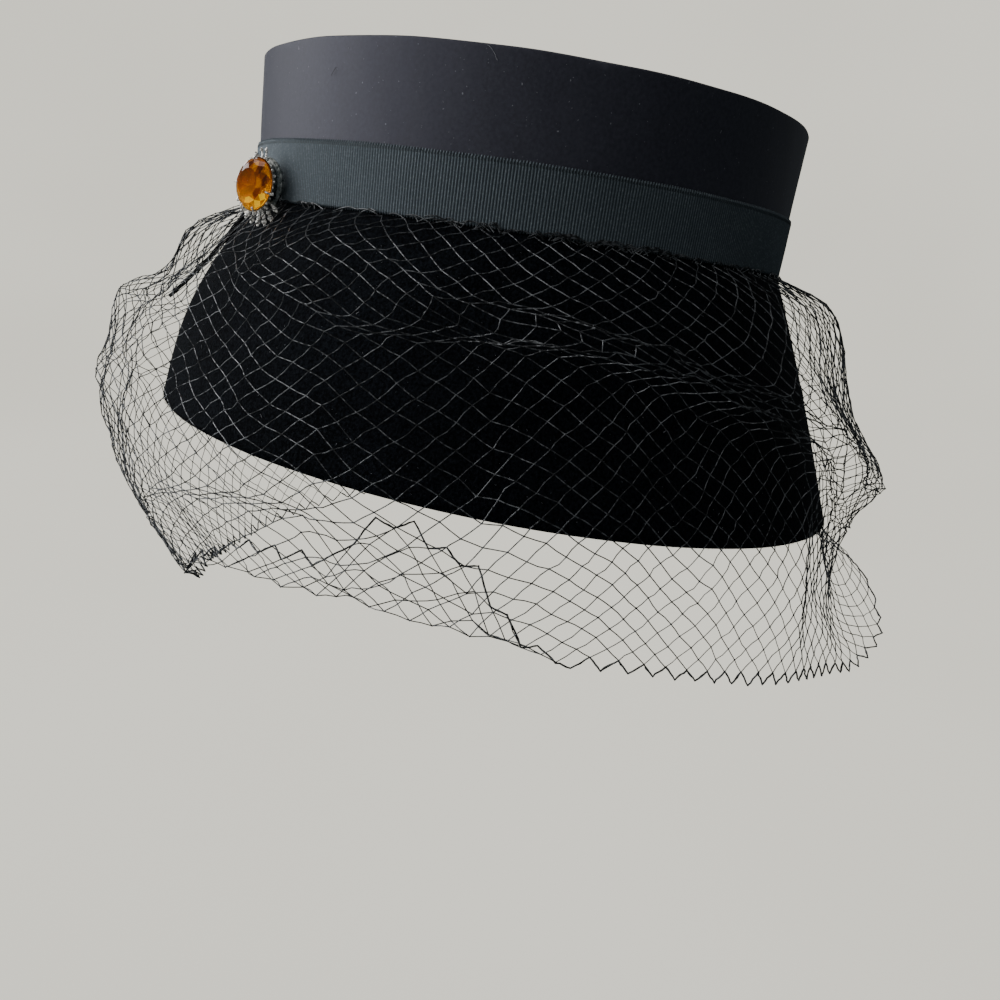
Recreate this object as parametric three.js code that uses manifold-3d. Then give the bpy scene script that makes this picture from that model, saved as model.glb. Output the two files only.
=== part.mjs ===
// A black pillbox hat: a satin crown on a flared velvet skirt, with a ribbon band round the waist,
// a wide-meshed veil hanging from the waist and an oval amber brooch on the band.
// Millimetres, +Z up the crown's axis, the front faces -Y and the wearer's left is +X.
// The origin is on the axis, level with the lower edge of the ribbon band.

import * as THREE from "three";
import { mergeVertices } from "three/addons/utils/BufferGeometryUtils.js";
import Module from "manifold-3d";

const wasm = await Module();
wasm.setup();

// Driving dimensions
const SEGMENTS = 64;
const GAP = 0.3;

const WAIST_RADIUS = 98.6;
const CROWN_RADIUS = 100.5;
const CROWN_HEIGHT = 49;
const CROWN_WALL = 2.2;
const CROWN_EDGE_ROUND = 0.7;
const CROWN_LEDGE = 7;
const TIP_THICKNESS = 1.8;
const TIP_DOME = 1.5;
const TIP_INSET = 0.4;

const RIBBON_WIDTH = 19;
const RIBBON_THICKNESS = 0.7;

const SKIRT_WALL = 2.6;
const SKIRT_COLLAR = 4.7;
const SKIRT_SHOULDER = 1.3;
const RIM_FRONT_REACH = 126.4;
const RIM_BACK_REACH = 133.8;
const RIM_FRONT_DEPTH = 72;
const RIM_BACK_DEPTH = 86;

const VEIL_AROUND = 20;
const VEIL_ROWS = 5;
const VEIL_GAP_TURN = 35.4;
const VEIL_STRAND = 2;
const VEIL_THICKNESS = 1;
const VEIL_START_OUT = 2.4;
const VEIL_START_DEPTH = 1;
const VEIL_PUFF = 30;
const VEIL_BELOW_RIM = 64;
const VEIL_RUFFLE = 1.8;
const VEIL_RUFFLES_AROUND = 11;
const VEIL_RUFFLE_PHASE = 0.7;
const STRAND_STEPS = 2;
const EDGE_STEPS = 2;

const SEAM_RADIUS = 1.2;
const SEAM_TAPER = 0.45;
const SEAM_STEPS = 8;
const SEAM_SIDES = 8;

const STONE_LONG = 16.4;
const STONE_WIDE = 12.4;
const STONE_CROWN = 3.4;
const STONE_GIRDLE = 0.5;
const STONE_PAVILION = 3.6;
const STONE_FACETS = 12;
const TABLE_SHARE = 0.56;

const BROOCH_TURN = 37.6;
const BROOCH_FACING = 70;
const BROOCH_LEAN = 11;
const BROOCH_HEIGHT = 3.8;
const BROOCH_STANDOFF = 5;
const CUP_DEPTH = 4.4;
const CUP_WALL = 0.7;
const CUP_FOOT_IN = 0.4;
const CUP_FLOOR = 0.6;
const CUP_FLOOR_SHARE = 0.66;
const CUP_SIDES = 24;
const PLATE_MARGIN = 0.9;
const PLATE_THICKNESS = 1;
const RAY_THICKNESS = 0.8;
const RAY_WIDTH = 1;
const RAY_REACH = 2.6;
const RAY_START = 0.8;
const BEAD_RADIUS = 0.55;
const BEADS = 12;
const POST_RADIUS = 1.6;
const POST_OFFSET = 2.5;

// What follows from them
const RIM_MID_RADIUS = (RIM_FRONT_REACH + RIM_BACK_REACH) / 2;
const RIM_MID_DEPTH = (RIM_FRONT_DEPTH + RIM_BACK_DEPTH) / 2;
const RIBBON_OUTER = WAIST_RADIUS + GAP + RIBBON_THICKNESS;
const VEIL_START_RADIUS = WAIST_RADIUS + VEIL_START_OUT;
const VEIL_SPREAD = RIM_MID_RADIUS - VEIL_START_RADIUS + VEIL_PUFF;
const VEIL_DROP = RIM_BACK_DEPTH + VEIL_BELOW_RIM;
const GIRDLE_HEIGHT = PLATE_THICKNESS + CUP_DEPTH;

// The veil's folds, one row for each section round the hat. Turn is in degrees from the front
// towards the wearer's left. Each pair is how far out from the waist, as a share of the veil's
// spread, and how deep below it, as a share of the veil's drop.
const VEIL_COLUMNS = ["turn", "shoulder", "crease", "ridge", "tuck", "hang", "hem"];
const VEIL_SECTIONS = [
  [5, [0.33, 0.09], [0.45, 0.19], [0.67, 0.27], [0.81, 0.44], [0.59, 0.73], [0.12, 0.95]],
  [18, [0.35, 0.09], [0.47, 0.19], [0.71, 0.27], [0.82, 0.45], [0.61, 0.73], [0.17, 0.95]],
  [29, [0.2, 0.08], [0.38, 0.17], [0.57, 0.27], [0.72, 0.43], [0.61, 0.67], [0.29, 0.89]],
  [42, [0.16, 0.06], [0.3, 0.11], [0.44, 0.2], [0.51, 0.32], [0.64, 0.56], [0.42, 0.81]],
  [56, [0.23, 0.05], [0.39, 0.09], [0.54, 0.15], [0.49, 0.24], [0.64, 0.51], [0.47, 0.76]],
  [68, [0.28, 0.04], [0.46, 0.08], [0.59, 0.17], [0.51, 0.27], [0.64, 0.49], [0.51, 0.75]],
  [80, [0.29, 0.05], [0.51, 0.11], [0.64, 0.17], [0.46, 0.23], [0.66, 0.49], [0.53, 0.75]],
  [92, [0.28, 0.06], [0.56, 0.13], [0.64, 0.18], [0.42, 0.23], [0.66, 0.51], [0.54, 0.77]],
  [107, [0.28, 0.07], [0.57, 0.15], [0.66, 0.2], [0.46, 0.26], [0.66, 0.53], [0.56, 0.79]],
  [124, [0.29, 0.07], [0.59, 0.18], [0.71, 0.25], [0.51, 0.33], [0.66, 0.58], [0.59, 0.83]],
  [140, [0.29, 0.08], [0.57, 0.23], [0.76, 0.33], [0.57, 0.41], [0.64, 0.65], [0.66, 0.87]],
  [156, [0.36, 0.07], [0.54, 0.27], [0.81, 0.43], [0.66, 0.53], [0.62, 0.75], [0.76, 0.91]],
  [166, [0.34, 0.08], [0.54, 0.29], [0.79, 0.44], [0.67, 0.55], [0.64, 0.73], [0.96, 0.93]],
  [175, [0.31, 0.09], [0.53, 0.28], [0.76, 0.41], [0.66, 0.52], [0.66, 0.69], [1.16, 0.87]],
  [184, [0.31, 0.08], [0.53, 0.24], [0.71, 0.36], [0.63, 0.45], [0.66, 0.61], [1.09, 0.76]],
  [194, [0.29, 0.07], [0.53, 0.2], [0.66, 0.29], [0.58, 0.37], [0.66, 0.57], [0.86, 0.71]],
  [215, [0.28, 0.07], [0.53, 0.17], [0.64, 0.25], [0.49, 0.31], [0.65, 0.56], [0.69, 0.8]],
  [245, [0.26, 0.07], [0.54, 0.15], [0.62, 0.23], [0.44, 0.27], [0.66, 0.52], [0.56, 0.81]],
  [272, [0.26, 0.07], [0.54, 0.15], [0.62, 0.22], [0.44, 0.27], [0.66, 0.53], [0.53, 0.83]],
  [298, [0.26, 0.06], [0.49, 0.13], [0.59, 0.21], [0.46, 0.29], [0.66, 0.57], [0.49, 0.91]],
  [320, [0.24, 0.07], [0.39, 0.17], [0.49, 0.28], [0.56, 0.4], [0.66, 0.67], [0.39, 0.97]],
  [338, [0.21, 0.09], [0.31, 0.21], [0.42, 0.32], [0.59, 0.47], [0.62, 0.73], [0.23, 0.99]],
  [352, [0.28, 0.09], [0.39, 0.2], [0.56, 0.28], [0.72, 0.47], [0.66, 0.75], [0.16, 0.99]],
];

// How far down the cloth each fold lies: the waist, then the columns of the table
const VEIL_KNOTS = [0, 0.12, 0.25, 0.38, 0.48, 0.72, 1];

// The route of the veil's rolled end: turn in degrees, how far it stands off its seat on the
// skirt, as a share of the veil's spread, and its depth, as a share of the veil's drop
const SEAM_SECTIONS = [
  { turn: 25.5, off: 0.005, depth: 0.035 },
  { turn: 24.5, off: 0.022, depth: 0.093 },
  { turn: 23, off: 0.06, depth: 0.16 },
  { turn: 21, off: 0.15, depth: 0.247 },
];

// The rays behind the stone: angle on the plate in degrees, and shares of the ray's reach and width
const RAYS = [
  { angle: -142, reach: 0.9, width: 1.7 },
  { angle: -122, reach: 0.8, width: 1 },
  { angle: -108, reach: 1, width: 1 },
  { angle: -95, reach: 1, width: 1 },
  { angle: -82, reach: 1, width: 1 },
  { angle: -69, reach: 0.95, width: 1 },
  { angle: -54, reach: 0.9, width: 1.2 },
  { angle: -36, reach: 0.7, width: 1.2 },
  { angle: 58, reach: 0.6, width: 1 },
  { angle: 74, reach: 0.8, width: 1 },
  { angle: 88, reach: 1, width: 1 },
  { angle: 102, reach: 1, width: 1 },
  { angle: 118, reach: 0.9, width: 1 },
  { angle: 136, reach: 0.8, width: 1.2 },
];

function radians(degrees) {
  return (degrees * Math.PI) / 180;
}

// A point at a turn round the crown's axis, a radius from it and a height on it
function onTurn(turn, radius, z) {
  const a = radians(turn);
  return [radius * Math.sin(a), -radius * Math.cos(a), z];
}

function crownRadius(z) {
  return WAIST_RADIUS + ((CROWN_RADIUS - WAIST_RADIUS) * z) / CROWN_HEIGHT;
}

function rimRadius(turn) {
  return RIM_MID_RADIUS - ((RIM_BACK_REACH - RIM_FRONT_REACH) / 2) * Math.cos(radians(turn));
}

function rimHeight(turn) {
  return ((RIM_BACK_DEPTH - RIM_FRONT_DEPTH) / 2) * Math.cos(radians(turn)) - RIM_MID_DEPTH;
}

// The skirt's outer radius at a depth below the waist
function skirtRadius(turn, depth) {
  const top = WAIST_RADIUS + SKIRT_SHOULDER;
  return top + ((rimRadius(turn) - top) * depth) / -rimHeight(turn);
}

// Closed solids

function signedVolume(points, faces) {
  let sum = 0;
  for (const [a, b, c] of faces) {
    const [p, q, r] = [points[a], points[b], points[c]];
    sum += p[0] * (q[1] * r[2] - q[2] * r[1]);
    sum += p[1] * (q[2] * r[0] - q[0] * r[2]);
    sum += p[2] * (q[0] * r[1] - q[1] * r[0]);
  }
  return sum / 6;
}

// A geometry from points and triangles that wind one way, turned so that they face out
function closedGeometry(points, faces) {
  const outward = signedVolume(points, faces) > 0;
  const index = faces.flatMap(([a, b, c]) => (outward ? [a, b, c] : [a, c, b]));
  const geometry = new THREE.BufferGeometry();
  geometry.setAttribute("position", new THREE.Float32BufferAttribute(points.flat(), 3));
  geometry.setIndex(index);
  return geometry;
}

function quad(faces, a, b, c, d) {
  faces.push([a, b, c], [a, c, d]);
}

// A ring of closed sections: sectionAt(turn) gives the same number of [radius, z] at every turn
function ringGeometry(sectionAt) {
  const points = [];
  const faces = [];
  const count = sectionAt(0).length;
  for (let i = 0; i < SEGMENTS; i += 1) {
    const turn = (360 * i) / SEGMENTS;
    sectionAt(turn).forEach(([radius, z]) => points.push(onTurn(turn, radius, z)));
  }
  for (let i = 0; i < SEGMENTS; i += 1) {
    const here = i * count;
    const next = ((i + 1) % SEGMENTS) * count;
    for (let j = 0; j < count; j += 1) {
      const k = (j + 1) % count;
      quad(faces, here + j, next + j, next + k, here + k);
    }
  }
  return closedGeometry(points, faces);
}

// Rings of points from one end to the other, closed by a point or a flat fan at each end
function stackGeometry(rings) {
  const points = rings.flat();
  const faces = [];
  const count = rings[0].length;
  for (let i = 0; i < rings.length - 1; i += 1) {
    for (let j = 0; j < count; j += 1) {
      const k = (j + 1) % count;
      quad(faces, i * count + j, i * count + k, (i + 1) * count + k, (i + 1) * count + j);
    }
  }
  const last = (rings.length - 1) * count;
  for (let j = 1; j < count - 1; j += 1) {
    faces.push([0, j + 1, j]);
    faces.push([last, last + j, last + j + 1]);
  }
  return closedGeometry(points, faces);
}

// Joined solids

function toSolid(geometry) {
  const bare = geometry.clone();
  bare.deleteAttribute("normal");
  bare.deleteAttribute("uv");
  const merged = mergeVertices(bare, 1e-5);
  const vertProperties = new Float32Array(merged.attributes.position.array);
  const triVerts = new Uint32Array(merged.index.array);
  return new wasm.Manifold(new wasm.Mesh({ numProp: 3, vertProperties, triVerts }));
}

function join(geometries) {
  const [first, ...rest] = geometries.map(toSolid);
  const whole = rest.reduce((sum, piece) => sum.add(piece), first).getMesh();
  const geometry = new THREE.BufferGeometry();
  geometry.setAttribute("position", new THREE.BufferAttribute(whole.vertProperties, 3));
  geometry.setIndex(new THREE.BufferAttribute(whole.triVerts, 1));
  return geometry;
}

// The crown's side: a stiff wall with a ledge turned in under the tip
function crownSideGeometry() {
  const top = CROWN_HEIGHT;
  const bottom = SKIRT_COLLAR + GAP;
  const seat = top - TIP_INSET - TIP_THICKNESS - GAP;
  const under = seat - CROWN_WALL;
  const inner = CROWN_RADIUS - CROWN_WALL;
  return ringGeometry(() => [
    [crownRadius(bottom), bottom],
    [crownRadius(top - CROWN_EDGE_ROUND), top - CROWN_EDGE_ROUND],
    [CROWN_RADIUS - CROWN_EDGE_ROUND, top],
    [inner, top],
    [inner, seat],
    [inner - CROWN_LEDGE, seat],
    [inner - CROWN_LEDGE, under],
    [crownRadius(under) - CROWN_WALL, under],
    [crownRadius(bottom) - CROWN_WALL, bottom],
  ]);
}

// The crown's tip: a slightly domed disc on that ledge
function crownTipGeometry() {
  const radius = CROWN_RADIUS - CROWN_WALL - GAP;
  const bottom = CROWN_HEIGHT - TIP_INSET - TIP_THICKNESS;
  const rise = (share) => TIP_DOME * (1 - share * share);
  const shares = [0, 0.6, 1];
  const under = shares.map((s) => new THREE.Vector2(radius * s, bottom + rise(s)));
  const over = under.map((p) => new THREE.Vector2(p.x, p.y + TIP_THICKNESS)).reverse();
  const geometry = new THREE.LatheGeometry([...under, ...over], SEGMENTS);
  geometry.rotateX(Math.PI / 2);
  return geometry;
}

// The ribbon: a plain band that follows the crown's side
function ribbonGeometry() {
  const inner = (z) => crownRadius(z) + GAP;
  return ringGeometry(() => [
    [inner(0), 0],
    [inner(0) + RIBBON_THICKNESS, 0],
    [inner(RIBBON_WIDTH) + RIBBON_THICKNESS, RIBBON_WIDTH],
    [inner(RIBBON_WIDTH), RIBBON_WIDTH],
  ]);
}

// The skirt: a collar behind the ribbon, then a straight flare to a slanted, rounded rim
function skirtGeometry() {
  const round = SKIRT_WALL / 2;
  return ringGeometry((turn) => {
    const top = new THREE.Vector2(WAIST_RADIUS + SKIRT_SHOULDER, -GAP - SKIRT_SHOULDER);
    const rim = new THREE.Vector2(rimRadius(turn), rimHeight(turn));
    const along = rim.clone().sub(top).normalize();
    const inward = new THREE.Vector2(along.y, -along.x);
    const at = (down, across) => {
      const p = rim.clone().addScaledVector(along, down).addScaledVector(inward, across);
      return [p.x, p.y];
    };
    const diagonal = round * Math.SQRT1_2;
    const innerTop = top.clone().addScaledVector(inward, SKIRT_WALL);
    return [
      [crownRadius(SKIRT_COLLAR), SKIRT_COLLAR],
      [WAIST_RADIUS, 0],
      [WAIST_RADIUS, -2 * GAP],
      [top.x, top.y],
      at(-round, 0),
      at(diagonal - round, round - diagonal),
      at(0, round),
      at(diagonal - round, round + diagonal),
      at(-round, SKIRT_WALL),
      [innerTop.x, innerTop.y],
      [crownRadius(SKIRT_COLLAR) - SKIRT_WALL, SKIRT_COLLAR],
    ];
  });
}

// A smooth curve through values at uneven knots
function throughKnots(knots, values, t) {
  let k = 0;
  while (k < knots.length - 2 && t > knots[k + 1]) k += 1;
  const slope = (i) => {
    const low = Math.max(i - 1, 0);
    const high = Math.min(i + 1, knots.length - 1);
    return (values[high] - values[low]) / (knots[high] - knots[low]);
  };
  const h = knots[k + 1] - knots[k];
  const s = (t - knots[k]) / h;
  const q = 1 - s;
  const start = (1 + 2 * s) * q * q * values[k] + s * q * q * h * slope(k);
  return start + s * s * (3 - 2 * s) * values[k + 1] - s * s * q * h * slope(k + 1);
}

// The veil's section at a turn, as radii and heights at the knots
function veilSection(turn) {
  const lap = (shift) => VEIL_SECTIONS.map(([at, ...folds]) => [at + shift, ...folds]);
  const rows = [...lap(-360), ...lap(0), ...lap(360)];
  const turns = rows.map((row) => row[0]);
  const radii = [VEIL_START_RADIUS];
  const heights = [-VEIL_START_DEPTH];
  for (let fold = 1; fold < VEIL_COLUMNS.length; fold += 1) {
    const out = throughKnots(turns, rows.map((row) => row[fold][0]), turn);
    const deep = throughKnots(turns, rows.map((row) => row[fold][1]), turn);
    radii.push(VEIL_START_RADIUS + out * VEIL_SPREAD);
    heights.push(-deep * VEIL_DROP);
  }
  return { radii, heights };
}

// A point of the veil's middle surface: cell round the hat and share of the way down
function veilPoint(cell, down) {
  const turn = (VEIL_GAP_TURN + (360 * (cell + 0.5)) / VEIL_AROUND + 720) % 360;
  const { radii, heights } = veilSection(turn);
  const wave = Math.sin(VEIL_RUFFLES_AROUND * radians(turn) + VEIL_RUFFLE_PHASE);
  const ruffle = VEIL_RUFFLE * Math.sin(Math.PI * down) * wave;
  const radius = throughKnots(VEIL_KNOTS, radii, down) + ruffle;
  return new THREE.Vector3(...onTurn(turn, radius, throughKnots(VEIL_KNOTS, heights, down)));
}

// The same point moved across the surface's thickness
function veilFace(cell, down, side) {
  const step = 0.02;
  const here = veilPoint(cell, down);
  const round = veilPoint(cell + step, down).sub(veilPoint(cell - step, down));
  const low = Math.min(down + step, 1);
  const high = Math.max(down - step, 0);
  const along = veilPoint(cell, low).sub(veilPoint(cell, high));
  const normal = along.cross(round).normalize();
  return here.addScaledVector(normal, (side * VEIL_THICKNESS) / 2).toArray();
}

// The veil: a net of diamond cells, with half cells along its heading and its hem
function veilGeometry() {
  const points = [];
  const faces = [];
  const known = new Map();
  const rowLength = VEIL_DROP / VEIL_ROWS;
  const cellWidth = (2 * Math.PI * RIM_MID_RADIUS) / VEIL_AROUND;
  const side = Math.hypot(cellWidth / 2, rowLength);
  const toSide = (cellWidth * rowLength) / (2 * side);
  const vertex = ([cell, down], face) => {
    const wrapped = ((cell % VEIL_AROUND) + VEIL_AROUND) % VEIL_AROUND;
    const key = `${wrapped.toFixed(5)},${down.toFixed(5)},${face}`;
    if (!known.has(key)) {
      known.set(key, points.length);
      points.push(veilFace(wrapped, down, face));
    }
    return known.get(key);
  };
  const between = (a, b, share) => [a[0] + (b[0] - a[0]) * share, a[1] + (b[1] - a[1]) * share];
  const onEdge = (a, b) => a[1] === b[1];
  const addCell = (corners, centre, shrink) => {
    const hole = corners.map((corner) => between(centre, corner, shrink));
    corners.forEach((corner, i) => {
      const k = (i + 1) % corners.length;
      const steps = onEdge(corner, corners[k]) ? EDGE_STEPS : STRAND_STEPS;
      for (let s = 0; s < steps; s += 1) {
        const outer = [s, s + 1].map((n) => between(corner, corners[k], n / steps));
        const inner = [s, s + 1].map((n) => between(hole[i], hole[k], n / steps));
        const ring = [outer[0], outer[1], inner[1], inner[0]];
        const front = ring.map((p) => vertex(p, 1));
        const back = ring.map((p) => vertex(p, -1));
        quad(faces, ...front);
        quad(faces, ...[...back].reverse());
        quad(faces, front[3], front[2], back[2], back[3]);
        if (onEdge(corner, corners[k])) quad(faces, front[1], front[0], back[0], back[1]);
      }
    });
  };
  for (let row = -1; row < VEIL_ROWS; row += 1) {
    for (let i = 0; i < VEIL_AROUND; i += 1) {
      const cell = i + (((row % 2) + 2) % 2) / 2;
      const level = (n) => n / VEIL_ROWS;
      const top = [cell, level(row)];
      const left = [cell - 0.5, level(row + 1)];
      const right = [cell + 0.5, level(row + 1)];
      const bottom = [cell, level(row + 2)];
      const strand = VEIL_STRAND / 2 / toSide;
      if (row === -1) {
        addCell([left, bottom, right], [cell, level(row + 4 / 3)], 1 - 1.5 * strand);
      } else if (row === VEIL_ROWS - 1) {
        addCell([top, left, right], [cell, level(row + 2 / 3)], 1 - 1.5 * strand);
      } else {
        addCell([top, left, bottom, right], [cell, level(row + 1)], 1 - strand);
      }
    }
  }
  return closedGeometry(points, faces);
}

// The veil's rolled end: a tapering roll that leans out from the skirt
function seamGeometry() {
  const route = SEAM_SECTIONS.map(({ turn, off, depth }) => {
    const deep = depth * VEIL_DROP;
    const seat = skirtRadius(turn, deep) + GAP + SEAM_RADIUS;
    return new THREE.Vector3(...onTurn(turn, seat + off * VEIL_SPREAD, -deep));
  });
  const curve = new THREE.CatmullRomCurve3(route);
  const rings = [];
  for (let i = 0; i <= SEAM_STEPS; i += 1) {
    const share = i / SEAM_STEPS;
    const centre = curve.getPoint(share);
    const ahead = curve.getTangent(share);
    const across = new THREE.Vector3(0, 0, 1).cross(ahead).normalize();
    const up = ahead.clone().cross(across);
    const radius = SEAM_RADIUS * (1 - SEAM_TAPER * share);
    const ring = [];
    for (let j = 0; j < SEAM_SIDES; j += 1) {
      const a = (2 * Math.PI * j) / SEAM_SIDES;
      const p = centre.clone().addScaledVector(across, radius * Math.cos(a));
      ring.push(p.addScaledVector(up, radius * Math.sin(a)).toArray());
    }
    rings.push(ring);
  }
  return stackGeometry(rings);
}

// An oval ring on the brooch: margin outside the stone's girdle, height over the plate's back
function oval(margin, z, sides, offset = 0) {
  return Array.from({ length: sides }, (_, i) => {
    const a = (2 * Math.PI * (i + offset)) / sides;
    return [(STONE_WIDE / 2 + margin) * Math.cos(a), (STONE_LONG / 2 + margin) * Math.sin(a), z];
  });
}

// The same ring drawn in to a share of the girdle
function innerOval(share, z, sides, offset = 0) {
  return oval(0, z, sides, offset).map(([x, y]) => [x * share, y * share, z]);
}

// The stone: a table, kite and triangle facets round it, a girdle and a faceted pavilion
function stoneGeometry() {
  const girdle = GIRDLE_HEIGHT;
  const n = STONE_FACETS;
  const table = innerOval(TABLE_SHARE, girdle + STONE_GIRDLE + STONE_CROWN, n, 0.5);
  const shoulder = innerOval(0.84, girdle + STONE_GIRDLE + STONE_CROWN * 0.56, n, 0);
  const upper = innerOval(1, girdle + STONE_GIRDLE, n, 0.5);
  const lower = innerOval(1, girdle, n, 0.5);
  const pavilion = innerOval(0.52, girdle - STONE_PAVILION * 0.55, n, 0);
  const keel = innerOval(0.12, girdle - STONE_PAVILION, n, 0.5);
  const points = [table, shoulder, upper, lower, pavilion, keel].flat();
  const at = (ring, i) => ring * n + ((i + n) % n);
  const faces = [];
  for (let i = 0; i < n; i += 1) {
    faces.push([at(0, i), at(1, i), at(0, i - 1)], [at(0, i), at(1, i + 1), at(1, i)]);
    faces.push([at(1, i), at(1, i + 1), at(2, i)], [at(1, i), at(2, i), at(2, i - 1)]);
    quad(faces, at(2, i - 1), at(2, i), at(3, i), at(3, i - 1));
    faces.push([at(3, i - 1), at(3, i), at(4, i)], [at(3, i), at(4, i + 1), at(4, i)]);
    faces.push([at(4, i), at(4, i + 1), at(5, i)], [at(4, i), at(5, i), at(5, i - 1)]);
  }
  for (let i = 1; i < n - 1; i += 1) {
    faces.push([at(0, 0), at(0, i + 1), at(0, i)]);
    faces.push([at(5, 0), at(5, i), at(5, i + 1)]);
  }
  return closedGeometry(points, faces);
}

// The cup and its plate: a tapering oval bowl, open to the front
function cupGeometry() {
  const mouth = GAP + CUP_WALL;
  return stackGeometry([
    oval(PLATE_MARGIN, 0, CUP_SIDES),
    oval(PLATE_MARGIN, PLATE_THICKNESS, CUP_SIDES),
    oval(-CUP_FOOT_IN, PLATE_THICKNESS + CUP_FOOT_IN, CUP_SIDES),
    oval(mouth, GIRDLE_HEIGHT + STONE_GIRDLE, CUP_SIDES),
    oval(GAP, GIRDLE_HEIGHT + STONE_GIRDLE, CUP_SIDES),
    oval(GAP, GIRDLE_HEIGHT - GAP, CUP_SIDES),
    innerOval(CUP_FLOOR_SHARE, PLATE_THICKNESS + CUP_FLOOR, CUP_SIDES),
  ]);
}

// One ray: a bar with a bead on its end, lying along the plate
function rayGeometries({ angle, reach, width }) {
  const a = radians(angle);
  const edge = [(STONE_WIDE / 2) * Math.cos(a), (STONE_LONG / 2) * Math.sin(a)];
  const out = new THREE.Vector2(edge[0] / STONE_WIDE, edge[1] / STONE_LONG).normalize();
  const start = new THREE.Vector2(...edge).multiplyScalar(RAY_START);
  const length = RAY_REACH * reach;
  const end = new THREE.Vector2(...edge).addScaledVector(out, length);
  const bar = new THREE.BoxGeometry(start.distanceTo(end), RAY_WIDTH * width, RAY_THICKNESS);
  const line = end.clone().sub(start);
  bar.rotateZ(Math.atan2(line.y, line.x));
  bar.translate((start.x + end.x) / 2, (start.y + end.y) / 2, PLATE_THICKNESS * 0.7);
  const bead = new THREE.IcosahedronGeometry(RAY_WIDTH * width * 0.72, 0);
  bead.translate(end.x, end.y, PLATE_THICKNESS);
  return [bar, bead];
}

// Beads round the cup's mouth that hold the stone
function beadGeometries() {
  const margin = GAP + CUP_WALL * 0.7;
  return oval(margin, GIRDLE_HEIGHT + STONE_GIRDLE, BEADS, 0.5).map(([x, y, z]) => {
    const bead = new THREE.IcosahedronGeometry(BEAD_RADIUS, 0);
    bead.translate(x, y, z + BEAD_RADIUS * 0.3);
    return bead;
  });
}

// The post behind the plate, as long as the plate stands off the ribbon there
function postGeometry() {
  const facing = radians(BROOCH_FACING);
  const centre = onTurn(BROOCH_TURN, RIBBON_OUTER + BROOCH_STANDOFF, 0);
  const inner = POST_OFFSET + POST_RADIUS;
  const x = centre[0] + inner * Math.cos(facing);
  const y = centre[1] + inner * Math.sin(facing);
  const ahead = x * Math.sin(facing) - y * Math.cos(facing);
  const clear = crownRadius(RIBBON_WIDTH) - WAIST_RADIUS + RIBBON_OUTER + GAP;
  const length = ahead - Math.sqrt(ahead * ahead - (x * x + y * y) + clear * clear);
  const overlap = PLATE_THICKNESS / 2;
  const post = new THREE.CylinderGeometry(POST_RADIUS, POST_RADIUS, length + overlap, 10);
  post.rotateX(Math.PI / 2);
  post.translate(POST_OFFSET, 0, (overlap - length) / 2);
  return post;
}

function settingGeometry() {
  const lean = radians(BROOCH_LEAN);
  const post = postGeometry();
  post.rotateZ(lean);
  return join([cupGeometry(), ...RAYS.flatMap(rayGeometries), ...beadGeometries(), post]);
}

// Materials

const satin = new THREE.MeshStandardMaterial({ color: 0x2a2b30, roughness: 0.5, metalness: 0 });
const ribbon = new THREE.MeshStandardMaterial({ color: 0x272c30, roughness: 0.75, metalness: 0 });
const velvet = new THREE.MeshStandardMaterial({ color: 0x08090c, roughness: 0.95, metalness: 0 });
const net = new THREE.MeshStandardMaterial({ color: 0x17181a, roughness: 0.6, metalness: 0 });
const silver = new THREE.MeshStandardMaterial({ color: 0xb9b7b0, roughness: 0.25, metalness: 1 });
const amber = new THREE.MeshStandardMaterial({ color: 0xb86508, roughness: 0.05, metalness: 0 });

function named(name, geometry, material) {
  const mesh = new THREE.Mesh(geometry, material);
  mesh.name = name;
  return mesh;
}

// The brooch faces a little round from the ribbon under it, and leans to one side
function brooch() {
  const facing = radians(BROOCH_FACING);
  const across = new THREE.Vector3(Math.cos(facing), Math.sin(facing), 0);
  const ahead = new THREE.Vector3(Math.sin(facing), -Math.cos(facing), 0);
  const frame = new THREE.Matrix4().makeBasis(across, new THREE.Vector3(0, 0, 1), ahead);
  const group = new THREE.Group();
  group.quaternion.setFromRotationMatrix(frame);
  group.position.set(...onTurn(BROOCH_TURN, RIBBON_OUTER + BROOCH_STANDOFF, BROOCH_HEIGHT));
  const leaning = new THREE.Group();
  leaning.rotation.z = -radians(BROOCH_LEAN);
  leaning.add(named("brooch_setting", settingGeometry(), silver));
  leaning.add(named("amber_stone", stoneGeometry(), amber));
  group.add(leaning);
  return group;
}

const hat = new THREE.Group();
hat.add(named("crown_tip", crownTipGeometry(), satin));
hat.add(named("crown_side", crownSideGeometry(), satin));
hat.add(named("ribbon_band", ribbonGeometry(), ribbon));
hat.add(named("velvet_skirt", skirtGeometry(), velvet));
hat.add(named("veil", veilGeometry(), net));
hat.add(named("veil_seam", seamGeometry(), net));
hat.add(brooch());

export default hat;
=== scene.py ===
import bpy
import numpy as np
from mathutils import Matrix, Vector


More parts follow.
